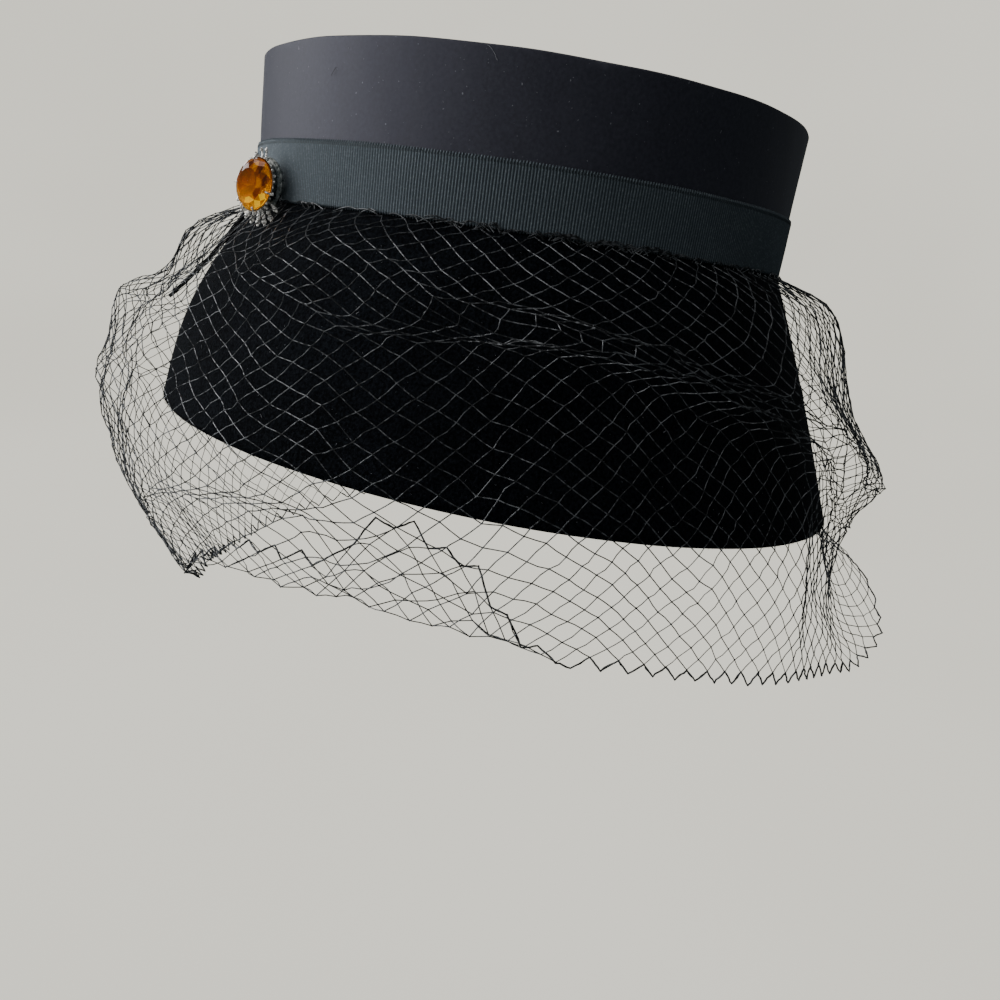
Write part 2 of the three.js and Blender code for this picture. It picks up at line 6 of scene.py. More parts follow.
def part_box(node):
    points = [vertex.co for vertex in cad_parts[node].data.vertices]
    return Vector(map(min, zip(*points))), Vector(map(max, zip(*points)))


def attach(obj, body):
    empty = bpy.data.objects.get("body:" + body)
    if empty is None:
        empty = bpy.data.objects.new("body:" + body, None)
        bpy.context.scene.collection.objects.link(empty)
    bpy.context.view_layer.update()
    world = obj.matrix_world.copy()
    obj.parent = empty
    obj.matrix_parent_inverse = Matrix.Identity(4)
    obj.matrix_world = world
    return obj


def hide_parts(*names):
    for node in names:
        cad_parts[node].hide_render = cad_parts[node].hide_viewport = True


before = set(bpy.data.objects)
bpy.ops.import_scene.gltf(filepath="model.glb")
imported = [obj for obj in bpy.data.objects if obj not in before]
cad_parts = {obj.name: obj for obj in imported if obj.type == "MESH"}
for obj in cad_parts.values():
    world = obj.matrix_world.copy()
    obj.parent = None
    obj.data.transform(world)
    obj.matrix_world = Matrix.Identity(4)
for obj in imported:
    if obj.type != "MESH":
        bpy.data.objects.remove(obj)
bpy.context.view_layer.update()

# Sizes in millimetres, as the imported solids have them. Z runs up the crown's axis, the front of
# the hat faces -Y, and a turn round the axis is in degrees from the front towards +X.
MM = 0.001
crown = np.array(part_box("crown_side")) / MM
band = np.array(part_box("ribbon_band")) / MM
skirt = np.array(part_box("velvet_skirt")) / MM
tip = np.array(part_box("crown_tip")) / MM

CROWN_TOP = crown[1][2]
CROWN_RADIUS = crown[1][0]
CROWN_FOOT = crown[0][2]
RIBBON_WIDTH = band[1][2]
WAIST_RADIUS = CROWN_RADIUS - 1.9
RIBBON_THICKNESS = 0.7
RIBS = 670
RIB_HEIGHT = 0.14
LOOP_HEIGHT = 0.62
GAP = 0.3
RIBBON_OUTER = WAIST_RADIUS + GAP + RIBBON_THICKNESS
SKIRT_WALL = 2.6
SHOULDER = 1.3
COLLAR = skirt[1][2]
RIM_FRONT = -skirt[0][1] + 0.5
RIM_BACK = skirt[1][1] + 0.5
RIM_FRONT_DEPTH = 72
RIM_BACK_DEPTH = 86
RIM_MIDDLE = (RIM_FRONT + RIM_BACK) / 2

# Points round a lathed piece
ROUND = 288

VEIL_START = WAIST_RADIUS + 2.4
VEIL_SPREAD = RIM_MIDDLE - VEIL_START + 30
VEIL_DROP = RIM_BACK_DEPTH + 64

# The net: meshes round the hat and rows down it, the turn of its first knots, how many degrees
# its knots shift from the sides to the front and back, how thick its thread is, and in how many
# steps the cloth and its turned-under hem are traced
MESHES_AROUND = 100
MESH_ROWS = 44
FIRST_KNOT = 35.4
WIDER_AT_SIDES = 7
THREAD = 0.35
CLOTH_STEPS = 160
HEM_STEPS = 40

# The folds of the veil round the hat: turn, then how far out and how deep each fold lies, as
# shares of the veil's spread and drop: shoulder, crease, ridge, tuck, hang and hem.
VEIL_FOLDS = [
    (5, 0.33, 0.09, 0.45, 0.19, 0.67, 0.27, 0.81, 0.44, 0.59, 0.73, 0.12, 0.95),
    (18, 0.35, 0.09, 0.47, 0.19, 0.71, 0.27, 0.82, 0.45, 0.61, 0.73, 0.17, 0.95),
    (29, 0.2, 0.08, 0.38, 0.17, 0.57, 0.27, 0.72, 0.43, 0.61, 0.67, 0.29, 0.89),
    (42, 0.16, 0.06, 0.3, 0.11, 0.44, 0.2, 0.51, 0.32, 0.64, 0.56, 0.42, 0.81),
    (56, 0.23, 0.05, 0.39, 0.09, 0.54, 0.15, 0.49, 0.24, 0.64, 0.51, 0.47, 0.76),
    (68, 0.28, 0.04, 0.46, 0.08, 0.59, 0.17, 0.51, 0.27, 0.64, 0.49, 0.51, 0.75),
    (80, 0.29, 0.05, 0.51, 0.11, 0.64, 0.17, 0.46, 0.23, 0.66, 0.49, 0.53, 0.75),
    (92, 0.28, 0.06, 0.56, 0.13, 0.64, 0.18, 0.42, 0.23, 0.66, 0.51, 0.54, 0.77),
    (107, 0.28, 0.07, 0.57, 0.15, 0.66, 0.2, 0.46, 0.26, 0.66, 0.53, 0.56, 0.79),
    (124, 0.29, 0.07, 0.59, 0.18, 0.71, 0.25, 0.51, 0.33, 0.66, 0.58, 0.59, 0.83),
    (140, 0.29, 0.08, 0.57, 0.23, 0.76, 0.33, 0.57, 0.41, 0.64, 0.65, 0.66, 0.87),
    (156, 0.36, 0.07, 0.54, 0.27, 0.81, 0.43, 0.66, 0.53, 0.62, 0.75, 0.76, 0.91),
    (166, 0.34, 0.08, 0.54, 0.29, 0.79, 0.44, 0.67, 0.55, 0.64, 0.73, 0.96, 0.93),
    (175, 0.31, 0.09, 0.53, 0.28, 0.76, 0.41, 0.66, 0.52, 0.66, 0.69, 1.16, 0.87),
    (184, 0.31, 0.08, 0.53, 0.24, 0.71, 0.36, 0.63, 0.45, 0.66, 0.61, 1.09, 0.76),
    (194, 0.29, 0.07, 0.53, 0.2, 0.66, 0.29, 0.58, 0.37, 0.66, 0.57, 0.86, 0.71),
    (215, 0.28, 0.07, 0.53, 0.17, 0.64, 0.25, 0.49, 0.31, 0.65, 0.56, 0.69, 0.8),
    (245, 0.26, 0.07, 0.54, 0.15, 0.62, 0.23, 0.44, 0.27, 0.66, 0.52, 0.56, 0.81),
    (272, 0.26, 0.07, 0.54, 0.15, 0.62, 0.22, 0.44, 0.27, 0.66, 0.53, 0.53, 0.83),
    (298, 0.26, 0.06, 0.49, 0.13, 0.59, 0.21, 0.46, 0.29, 0.66, 0.57, 0.49, 0.91),
    (320, 0.24, 0.07, 0.39, 0.17, 0.49, 0.28, 0.56, 0.4, 0.66, 0.67, 0.39, 0.97),
    (338, 0.21, 0.09, 0.31, 0.21, 0.42, 0.32, 0.59, 0.47, 0.62, 0.73, 0.23, 0.99),
    (352, 0.28, 0.09, 0.39, 0.2, 0.56, 0.28, 0.72, 0.47, 0.66, 0.75, 0.16, 0.99),
]

# How far down the cloth the waist and those six lie
FOLD_SHARES = [0, 0.12, 0.25, 0.38, 0.48, 0.72, 1]

# The hem: turn, then how much of the net is turned under there, in millimetres
HEM = np.array([
    (-60, 0), (-20, 0), (20, 3), (40, 9), (56, 14), (71, 16), (76, 28), (81, 33),
    (88, 27), (91, 28), (94, 19), (99, 9), (107, 1), (113, 0), (225, 0), (240, 0),
    (300, 0),
])

# Waves in the hanging net: how high in millimetres, how many go round, how many radians they
# turn from waist to hem, and where they start
LONG_WAVES = [(0.8, 17, 2, 2), (0.5, 31, -9, 0)]
CRUMPLES_OUT = [(1.6, 27, 19, 0), (1.3, -7, 43, 0)]
CRUMPLES_DOWN = [(1.2, 23, -17, 1), (1.0, 19, 29, 0)]
GATHERS = [(0.72, 46, 0, 0), (0.36, 67, 0, 1)]

# The long creases: turn, then how far down the cloth the first and the second run there. The
# third is short and level. The net is also gathered sideways at one turn.
CREASES = np.array([
    (-60, 0.36, 0.5), (-30, 0.38, 0.5), (0, 0.4, 0.5), (20, 0.36, 0.46),
    (45, 0.3, 0.38), (63, 0.24, 0.369), (70, 0.22, 0.4), (75, 0.21, 0.444),
    (79, 0.225, 0.462), (82, 0.262, 0.475), (87, 0.285, 0.462), (93, 0.268, 0.419),
    (97, 0.262, 0.388), (101, 0.285, 0.381), (106, 0.294, 0.381), (111, 0.319, 0.381),
    (116, 0.344, 0.381), (122, 0.35, 0.4), (140, 0.36, 0.44), (160, 0.4, 0.5),
    (200, 0.35, 0.47), (240, 0.3, 0.46),
])
THIRD_CREASE = 0.812
PINCH_TURN = 162

# The veil's rolled end: turn, then how far out and how deep, as shares of spread and drop
SEAM_ROUTE = [(25.5, 0.005, 0.035), (24.5, 0.022, 0.093), (23, 0.06, 0.16), (21, 0.15, 0.247)]
SEAM_RADIUS = 1.2

# The brooch: the stone's size, where the brooch sits and faces, how far it leans and how far it
# stands off the ribbon, the plate's thickness, and how high the stone's girdle and the cup's rim
# lie over the plate's back
STONE_LONG, STONE_WIDE = 16.4, 12.4
BROOCH_TURN, BROOCH_FACING, BROOCH_LEAN, BROOCH_HEIGHT = 37.6, 70, 11, 3.8
BROOCH_STANDOFF = 5
PLATE = 1
GIRDLE = 5.4
RIM_OF_CUP = 5

# The bright rays round the setting: angle, how long and how thick, as shares of the usual ones
RAYS = [
    (-142, 0.9, 1.7), (-122, 1, 1.4), (-108, 1.15, 1.3), (-95, 1.25, 1.3), (-82, 1.3, 1.3),
    (-69, 1.3, 1.3), (-54, 1.15, 1.4), (-36, 0.7, 1.2), (100, 1.15, 0.8), (110, 1.2, 0.8),
    (124, 0.9, 1), (140, 0.7, 1.2),
]
RAY_LENGTH = 2.6
RAY_RADIUS = 0.42
PRONG_ANGLES = (104, 188, 250, 292, 352)

chance = np.random.default_rng(11)


# Points round the crown's axis

def on_turn(turn, radius, z):
    a = np.radians(turn)
    return np.stack(np.broadcast_arrays(radius * np.sin(a), -radius * np.cos(a), z), -1)


def crown_radius(z):
    return WAIST_RADIUS + (CROWN_RADIUS - WAIST_RADIUS) * z / CROWN_TOP


def rim_radius(turn):
    return RIM_MIDDLE - (RIM_BACK - RIM_FRONT) / 2 * np.cos(np.radians(turn))


def rim_height(turn):
    swing = (RIM_BACK_DEPTH - RIM_FRONT_DEPTH) / 2 * np.cos(np.radians(turn))
    return swing - (RIM_FRONT_DEPTH + RIM_BACK_DEPTH) / 2


def bulge(turn, down):
    """How far the flare stands out from a straight line, most at the front."""
    return (3.2 + 2.3 * np.cos(np.radians(turn))) * np.sin(np.pi * down) ** 1.1


def skirt_radius(turn, depth):
    top = WAIST_RADIUS + SHOULDER
    down = depth / -rim_height(turn)
    return top + (rim_radius(turn) - top) * down + 0.5 * bulge(turn, down)


def through_knots(knots, values, t):
    """A smooth curve through rows of values, one row for each knot, read at t."""
    knots, values = np.asarray(knots, float), np.asarray(values, float)
    last = len(knots) - 1
    low = np.maximum(np.arange(last + 1) - 1, 0)
    high = np.minimum(np.arange(last + 1) + 1, last)
    shape = (-1,) + (1,) * (values.ndim - 1)
    slope = (values[high] - values[low]) / (knots[high] - knots[low]).reshape(shape)
    k = np.clip(np.searchsorted(knots, t) - 1, 0, last - 1)
    h = (knots[k + 1] - knots[k]).reshape(shape)
    s = (np.asarray(t) - knots[k]).reshape(shape) / h
    q = 1 - s
    start = (1 + 2 * s) * q * q * values[k] + s * q * q * h * slope[k]
    return start + s * s * (3 - 2 * s) * values[k + 1] - s * s * q * h * slope[k + 1]


# Making meshes

def piece(name, points, faces, finish, material_slot, stands_for=(), smooth=True):
    """One piece of the hat from points in millimetres."""
    mesh = bpy.data.meshes.new(name)
    faces = faces.tolist() if hasattr(faces, "tolist") else faces
    mesh.from_pydata((np.asarray(points) * MM).tolist(), [], faces)
    mesh.polygons.foreach_set("use_smooth", np.full(len(mesh.polygons), smooth))
    mesh.materials.append(finish)
    made = bpy.data.objects.new(name, mesh)
    bpy.context.scene.collection.objects.link(made)
    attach(made, "root")
    if stands_for:
        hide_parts(*stands_for)
    return made


def grid_faces(rows, columns, close_rows=False, close_columns=True):
    """Faces of a grid of points, rows first."""
    i = np.arange(rows if close_rows else rows - 1)[:, None]
    j = np.arange(columns if close_columns else columns - 1)[None]
    i2, j2 = (i + 1) % rows, (j + 1) % columns
    corners = [i * columns + j, i * columns + j2, i2 * columns + j2, i2 * columns + j]
    return np.stack(np.broadcast_arrays(*corners), -1).reshape(-1, 4)


def lathe(sections):
    """Points and faces of a closed ring: sections is turns by section points by (radius, z)."""
    turns = np.arange(len(sections)) * 360 / len(sections)
    points = on_turn(turns[:, None], sections[..., 0], sections[..., 1])
    faces = grid_faces(*points.shape[:2], close_rows=True)
    return points.reshape(-1, 3), faces


def cords(paths, radius, sides):
    """Points and faces of thin round threads along paths, which is threads by steps by 3."""
    paths = np.asarray(paths, float)
    count, steps = paths.shape[:2]
    ahead = np.gradient(paths, axis=1)
    ahead /= np.linalg.norm(ahead, axis=-1, keepdims=True) + 1e-12
    out = paths * [1, 1, 0]
    out /= np.linalg.norm(out, axis=-1, keepdims=True) + 1e-12
    across = np.cross(ahead, out)
    across /= np.linalg.norm(across, axis=-1, keepdims=True) + 1e-12
    up = np.cross(across, ahead)
    a = np.arange(sides) * 2 * np.pi / sides
    ring = across[:, :, None] * np.cos(a)[:, None] + up[:, :, None] * np.sin(a)[:, None]
    radius = np.broadcast_to(radius, (count, steps))[:, :, None, None]
    points = paths[:, :, None] + ring * radius
    one = grid_faces(steps, sides)
    faces = one[None] + (np.arange(count) * steps * sides)[:, None, None]
    return points.reshape(-1, 3), faces.reshape(-1, 4)


def together(*shapes):
    """Several sets of points and faces as one. Faces are triangles or squares."""
    points, faces, start = [], [], 0
    for some_points, some_faces in shapes:
        some_points = np.asarray(some_points).reshape(-1, 3)
        points.append(some_points)
        faces.extend((np.asarray(some_faces) + start).tolist())
        start += len(some_points)
    return np.concatenate(points), faces


def small_knots(centres, size):
    """An eight-sided bead at each centre."""
    ends = np.array([[1, 0, 0], [-1, 0, 0], [0, 1, 0], [0, -1, 0], [0, 0, 1], [0, 0, -1]])
    sides = np.array([[0, 2, 4], [2, 1, 4], [1, 3, 4], [3, 0, 4],
                      [2, 0, 5], [1, 2, 5], [3, 1, 5], [0, 3, 5]])
    centres = np.asarray(centres).reshape(-1, 3)
    size = np.broadcast_to(size, len(centres))[:, None, None]
    points = centres[:, None] + ends * size
    faces = sides[None] + (np.arange(len(centres)) * 6)[:, None, None]
    return points.reshape(-1, 3), faces.reshape(-1, 3)


# Finishes

class Value:
    """A socket of a finish, with arithmetic that adds its nodes."""

    def __init__(self, finish, socket):
        self.finish, self.socket = finish, socket

    def work(self, operation, *terms):
        return self.finish.node("ShaderNodeMath", {"operation": operation}, dict(enumerate(terms)))

    def __add__(self, other):
        return self.work("ADD", self, other)

    def __sub__(self, other):
        return self.work("SUBTRACT", self, other)

    def __rsub__(self, other):
        return self.work("SUBTRACT", other, self)

    def __mul__(self, other):
        return self.work("MULTIPLY", self, other)

    def __truediv__(self, other):
        return self.work("DIVIDE", self, other)

    def __rtruediv__(self, other):
        return self.work("DIVIDE", other, self)

    __radd__ = __add__
    __rmul__ = __mul__


class Finish:
    """A finish: the shader and the nodes that vary it over a surface."""

    def __init__(self, name, **constants):
        self.material = bpy.data.materials.new(name)
        self.material.use_nodes = True
        self.tree = self.material.node_tree
        self.shader = self.tree.nodes["Principled BSDF"]
        for socket, value in constants.items():
            self.shader.inputs[socket.replace("_", " ")].default_value = value

    def put(self, socket, value):
        if isinstance(value, Value):
            self.tree.links.new(value.socket, socket)
        else:
            socket.default_value = value

    def node(self, kind, settings=None, inputs=None, output=0):
        made = self.tree.nodes.new(kind)
        for setting, value in (settings or {}).items():
            if setting == "stops":
                elements = made.color_ramp.elements
                while len(elements) < len(value):
                    elements.new(1)
                for element, (position, colour) in zip(elements, value):
                    element.position, element.color = position, colour
            else:
                setattr(made, setting, value)
        for socket, value in (inputs or {}).items():
            self.put(made.inputs[socket], value)
        return Value(self, made.outputs[output])

    def feed(self, **inputs):
        for socket, value in inputs.items():
            self.put(self.shader.inputs[socket.replace("_", " ")], value)
        return self.material

    def place(self):
        return self.node("ShaderNodeTexCoord", output="Object")

    def noise(self, scale, detail=2.0, rough=0.5, where=None):
        inputs = {"Scale": scale, "Detail": detail, "Roughness": rough}
        inputs["Vector"] = where or self.place()
        return self.node("ShaderNodeTexNoise", {}, inputs, "Fac")

    def stretched(self, x, y, z):
        scale = {"Vector": self.place(), "Scale": (x, y, z)}
        return self.node("ShaderNodeMapping", {}, scale)

    def ramp(self, value, *stops):
        stops = [(at, (shade, shade, shade, 1)) for at, shade in stops]
        return self.node("ShaderNodeValToRGB", {"stops": stops}, {"Fac": value})

    def between(self, mask, first, second):
        return self.node("ShaderNodeMix", {"data_type": "RGBA"}, {0: mask, 6: first, 7: second}, 2)

    def relief(self, height, depth, strength=1.0):
        inputs = {"Height": height, "Distance": depth, "Strength": strength}
        return self.node("ShaderNodeBump", {}, inputs)


def satin_finish():
    satin = Finish("satin", Specular_IOR_Level=0.5, Specular_Tint=(0.86, 0.84, 1, 1))
    weave = satin.noise(1.0, 3.0, 0.6, satin.stretched(1500, 1500, 420))
    grain = satin.noise(900, 2.0)
    cloud = satin.noise(22, 3.0)
    specks = satin.ramp(satin.noise(1100, 1.0), (0.75, 0), (0.8, 1))
    dark, light = (0.011, 0.0108, 0.0155, 1), (0.031, 0.0305, 0.041, 1)
    colour = satin.between(satin.ramp(grain * 0.6 + cloud * 0.4, (0.3, 0), (0.7, 1)), dark, light)
    colour = satin.between(specks * 0.8, colour, (0.2, 0.2, 0.22, 1))
    satin.feed(
        Base_Color=colour,
        Roughness=0.55 + cloud * 0.06 + grain * 0.06,
        Normal=satin.relief(weave * 0.7 + grain * 0.5, 0.00006, 0.5),
    )
    return satin.material


def ribbon_finish():
    ribbon = Finish("ribbon", Specular_IOR_Level=0.5, Specular_Tint=(0.8, 0.93, 1, 1))
    threads = ribbon.noise(1.0, 2.0, 0.6, ribbon.stretched(700, 700, 4200))
    cloud = ribbon.noise(40, 2.0)
    colour = ribbon.between(threads * cloud, (0.044, 0.054, 0.062, 1), (0.122, 0.143, 0.162, 1))
    weave = ribbon.ramp(ribbon.noise(1500, 2.0, 0.6), (0.5, 0), (0.66, 1))
    colour = ribbon.between(weave * 0.3, colour, (0.23, 0.26, 0.28, 1))
    at = {"Vector": ribbon.place()}
    x, y, z = (ribbon.node("ShaderNodeSeparateXYZ", {}, at, axis) for axis in "XYZ")
    turn = ribbon.node("ShaderNodeMath", {"operation": "ARCTAN2"}, {0: x, 1: y})
    ribs = ribbon.node("ShaderNodeMath", {"operation": "COSINE"}, {0: turn * RIBS})
    # Painted shade: dark dots along the ribbon's top edge, between the picot loops, where the gaps
    # under them lie in shadow.
    edge_strip = 1.2
    below_top = (z / MM - RIBBON_WIDTH + edge_strip) / edge_strip
    edge = ribbon.ramp(below_top, (0, 0), (0.2, 1), (0.75, 1), (0.95, 0))
    painted_gap_shade = ribbon.ramp(ribs, (0.1, 0), (0.5, 1))
    colour = ribbon.between(edge * painted_gap_shade, colour, (0.004, 0.005, 0.006, 1))
    # Painted shade: the grooves between the ribs are darkened in the colour.
    painted_groove_shade = ribbon.ramp(0 - ribs, (0.1, 0), (0.9, 0.8))
    colour = ribbon.between(painted_groove_shade, colour, (0.01, 0.012, 0.014, 1))
    ribbon.feed(
        Base_Color=colour,
        Roughness=0.55 + threads * 0.2,
        Normal=ribbon.relief(threads, 0.00012, 0.6),
    )
    return ribbon.material


def velvet_finish():
    velvet = Finish("velvet", Specular_IOR_Level=0.05, Sheen_Weight=0.015, Sheen_Roughness=0.3)
    pile = velvet.noise(1100, 3.0, 0.7)
    lay = velvet.noise(38, 3.0)
    tufts = velvet.ramp(pile * 0.8 + lay * 0.2, (0.42, 0), (0.64, 1))
    colour = velvet.between(tufts, (0.0002, 0.0005, 0.001, 1), (0.0078, 0.0094, 0.0125, 1))
    velvet.feed(
        Base_Color=colour,
        Roughness=0.85 + lay * 0.1,
        Normal=velvet.relief(pile + lay * 1.5, 0.0006, 0.7),
    )
    return velvet.material


def thread_finish(name, colour, shine):
    thread = Finish(name, Specular_IOR_Level=0.3, Coat_Roughness=0.2, Coat_IOR=1.75)
    ply = thread.noise(700, 2.0)
    patches = thread.noise(60, 2.0)
    # Painted highlights: the base colour is the given colour only in short patches along the
    # thread, where the coat also shines, and 0.12 times as bright between them.
    dark = tuple(0.12 * c for c in colour) + (1,)
    painted_glint_and_gloss = thread.ramp(ply * 0.7 + patches * 0.3, (0.45, 0), (0.56, 1))
    thread.feed(
        Base_Color=thread.between(painted_glint_and_gloss, dark, tuple(colour) + (1,)),
        Roughness=0.7 + ply * 0.2,
        Coat_Weight=painted_glint_and_gloss * shine,
    )
    return thread.material


def silver_finish(name, dull, light, glow):
    # With glow above 0 the silver also glows in its own colour: painted light.
    silver = Finish(name, Metallic=1.0, Emission_Strength=glow)
    tarnish = silver.ramp(silver.noise(900, 4.0, 0.7), (0.4, 0), (0.6, 1))
    marks = silver.noise(2600, 2.0)
    bright = silver.between(tarnish, dull, light)
    silver.feed(
        Base_Color=bright,
        Emission_Color=bright,
        Roughness=0.22 + tarnish * 0.2 + marks * 0.06,
        Normal=silver.relief(tarnish * 0.6 + marks, 0.00008, 0.5),
    )
    return silver.material


def foil_finish():
    # The foil glows with its own colour: painted light.
    foil = Finish("stone_foil", Metallic=1.0, Emission_Strength=0.4)
    flecks = foil.noise(260, 1.0)
    height = foil.node("ShaderNodeSeparateXYZ", {}, {"Vector": foil.place()}, "Z")
    shade = foil.node(
        "ShaderNodeValToRGB",
        {"stops": [(0.2, (1.0, 0.55, 0.01, 1)), (0.42, (0.8, 0.3, 0.004, 1)),
                   (0.75, (0.3, 0.08, 0.004, 1))]},
        {"Fac": (height + 0.006) * 52 + flecks * 0.5 - 0.25},
    )
    foil.feed(Base_Color=shade, Emission_Color=shade, Roughness=0.16 + flecks * 0.1)
    return foil.material


def amber_finish():
    # The stone glows a little in its own body colour: painted light.
    amber = Finish("amber", Transmission_Weight=0.65, IOR=1.5, Coat_Weight=0.3,
                   Emission_Strength=0.2)
    veins = amber.noise(260, 2.0)
    height = amber.node("ShaderNodeSeparateXYZ", {}, {"Vector": amber.place()}, "Z")
    # Painted facet shading: each flat facet gets its own lighter or darker colour from its facing.
    facing = amber.node("ShaderNodeNewGeometry", output="True Normal")
    facets = amber.noise(2.6, 0.0, where=facing)
    body = amber.node(
        "ShaderNodeValToRGB",
        {"stops": [(0.1, (0.92, 0.57, 0.02, 1)), (0.4, (0.62, 0.33, 0.012, 1)),
                   (0.65, (0.3, 0.105, 0.01, 1)), (0.95, (0.075, 0.022, 0.005, 1))]},
        {"Fac": (height + 0.005) * 42 + facets * 1.6 - 0.68 + veins * 0.3 - 0.12},
    )
    glow = amber.node("ShaderNodeMix", {"data_type": "RGBA", "blend_type": "MULTIPLY"},
                      {0: 1.0, 6: body, 7: (0.9, 0.6, 0.1, 1)}, 2)
    # Painted highlights: yellow flashes on some facets low on the stone, bright in the colour and
    # glowing.
    low = amber.ramp((height + 0.005) * 56, (0.42, 1), (0.5, 0))
    painted_flash = amber.ramp(facets, (0.36, 1), (0.38, 0)) * low
    amber.feed(
        Base_Color=amber.between(painted_flash, body, (1.0, 0.66, 0.0, 1)),
        Emission_Color=amber.between(painted_flash, glow, (2.6, 1.6, 0.0, 1)),
        Roughness=0.015 + veins * 0.02,
    )
    return amber.material


def stage_finish():
    paper = Finish("backdrop", Roughness=0.9, Specular_IOR_Level=0.1, Emission_Strength=1.0)
    cloud = paper.noise(1.2, 2.0)
    colour = paper.between(cloud, (0.05, 0.049, 0.045, 1), (0.055, 0.054, 0.05, 1))
    glow = paper.between(cloud, (0.92, 0.89, 0.77, 1), (1.08, 1.05, 0.93, 1))
    paper.feed(Base_Color=colour, Emission_Color=glow)
    return paper.material


# The crown

def crown_side(satin):
    """The satin wall of the crown, with its rounded top edge and the ledge under the tip."""
    turns = np.arange(ROUND) * 360 / ROUND
    edge, wall_thickness, ledge = 0.7, 2.2, 7
    heights = np.linspace(CROWN_FOOT, CROWN_TOP - edge, 22)
    a = np.radians(np.linspace(18, 90, 5))
    inner = CROWN_RADIUS - wall_thickness
    seat = CROWN_TOP - 2.5
    under = seat - wall_thickness
    wall = [(crown_radius(z), z) for z in heights]
    top = [(CROWN_RADIUS - edge + edge * np.cos(b), CROWN_TOP - edge + edge * np.sin(b)) for b in a]
    inside = [(inner + 0.35, CROWN_TOP), (inner, CROWN_TOP - 0.4), (inner, seat),
              (inner - ledge, seat), (inner - ledge, under),
              (crown_radius(seat) - wall_thickness, under),
              (crown_radius(CROWN_FOOT) - wall_thickness, CROWN_FOOT)]
    profile = np.array(wall + top + inside)
    sections = np.repeat(profile[None], len(turns), 0)
    t = np.radians(turns)[:, None]
    outside = len(wall) + len(top)
    z = profile[None, :outside, 1]
    ease = 0.11 * np.sin(3 * t + z * 0.03 + 1) + 0.07 * np.sin(11 * t - z * 0.05)
    ease = ease + 0.035 * np.sin(37 * t + z * 0.16)
    sections[:, :outside, 0] += ease * np.sin(np.pi * (z - CROWN_FOOT) / (CROWN_TOP * 1.15))
    sections[:, len(wall):outside + 1, 1] += 0.14 * np.sin(5 * t + 2) + 0.08 * np.sin(17 * t)
    return piece("satin_side", *lathe(sections), satin, "satin", ["crown_side"])


def crown_tip(satin):
    """The satin top of the crown: a slightly domed disc with a turned edge and faint puckers."""
    radius = tip[1][0]
    foot, peak = tip[0][2], tip[1][2]
    thickness = 1.8
    shares = [[0.0004, 0.0012], np.linspace(0.04, 0.93, 21), [0.955, 0.975, 0.99, 1.0]]
    shares = np.concatenate(shares)
    turns = np.arange(ROUND) * 360 / ROUND
    t, s = np.radians(turns)[:, None], shares[None]
    over = foot + thickness + (peak - foot - thickness) * (1 - s * s)
    over = over + 0.1 * np.sin(29 * t + 1) * s ** 18 + 0.05 * np.sin(71 * t) * s ** 26
    over = over + 0.06 * np.sin(2 * t + s * 7) * s - 0.55 * np.clip((s - 0.98) / 0.02, 0, 1) ** 2
    under = foot + (peak - foot - thickness) * (1 - s * s) + 0 * t
    r = radius * s + 0 * t
    rows = np.concatenate([np.stack([r, over], -1), np.stack([r, under], -1)[:, ::-1]], 1)
    points, faces = lathe(rows)
    return piece("satin_tip", points, faces, satin, "satin", ["crown_tip"])


# The ribbon

def ribbon_band(ribbon):
    """The corded ribbon: upright ribs with looped edges."""
    columns = RIBS * 4
    turns = np.arange(columns) * 360 / columns
    a = np.radians(turns)
    rib = np.cos(RIBS * a)
    loop = np.abs(np.cos(RIBS / 2 * a)) ** 0.8
    wander = 0.12 * np.sin(3 * a + 0.4) + 0.06 * np.sin(13 * a)
    levels = [0, 0.35, 0.9, 2.5, 5.5, 9.5, 13.5, 16.5, 18.1, 18.65, RIBBON_WIDTH]
    rows = []
    for z in levels:
        at_edge = min(z, RIBBON_WIDTH - z) < 0.1
        low = z < RIBBON_WIDTH / 2
        height = z + wander + (LOOP_HEIGHT * loop * (-1 if low else 1) if at_edge else 0)
        bend = 0.06 * np.sin(5 * a + z * 0.2) + 0.05 * np.sin(23 * a + z * 0.4)
        depth = 0.3 * loop - 0.4 if at_edge else RIB_HEIGHT * rib + bend
        radius = crown_radius(z) + GAP + RIBBON_THICKNESS - 0.08 + depth
        rows.append(np.stack([radius + 0 * a, height], -1))
    for z in (RIBBON_WIDTH - 0.2, 0.2):
        rows.append(np.stack([crown_radius(z) + GAP + 0 * a, z + wander], -1))
    sections = np.stack(rows, 1)
    return piece("ribbed_ribbon", *lathe(sections), ribbon, "ribbon", ["ribbon_band"])


# The skirt

def skirt_sections(turns, down):
    """Radius and z on the skirt's outer face: down runs from 0 at the waist to 1 at the rim."""
    top = WAIST_RADIUS + SHOULDER
    top_z = -GAP - SHOULDER
    radius = top + (rim_radius(turns) - top) * down + bulge(turns, down)
    return radius, top_z + (rim_height(turns) - top_z) * down


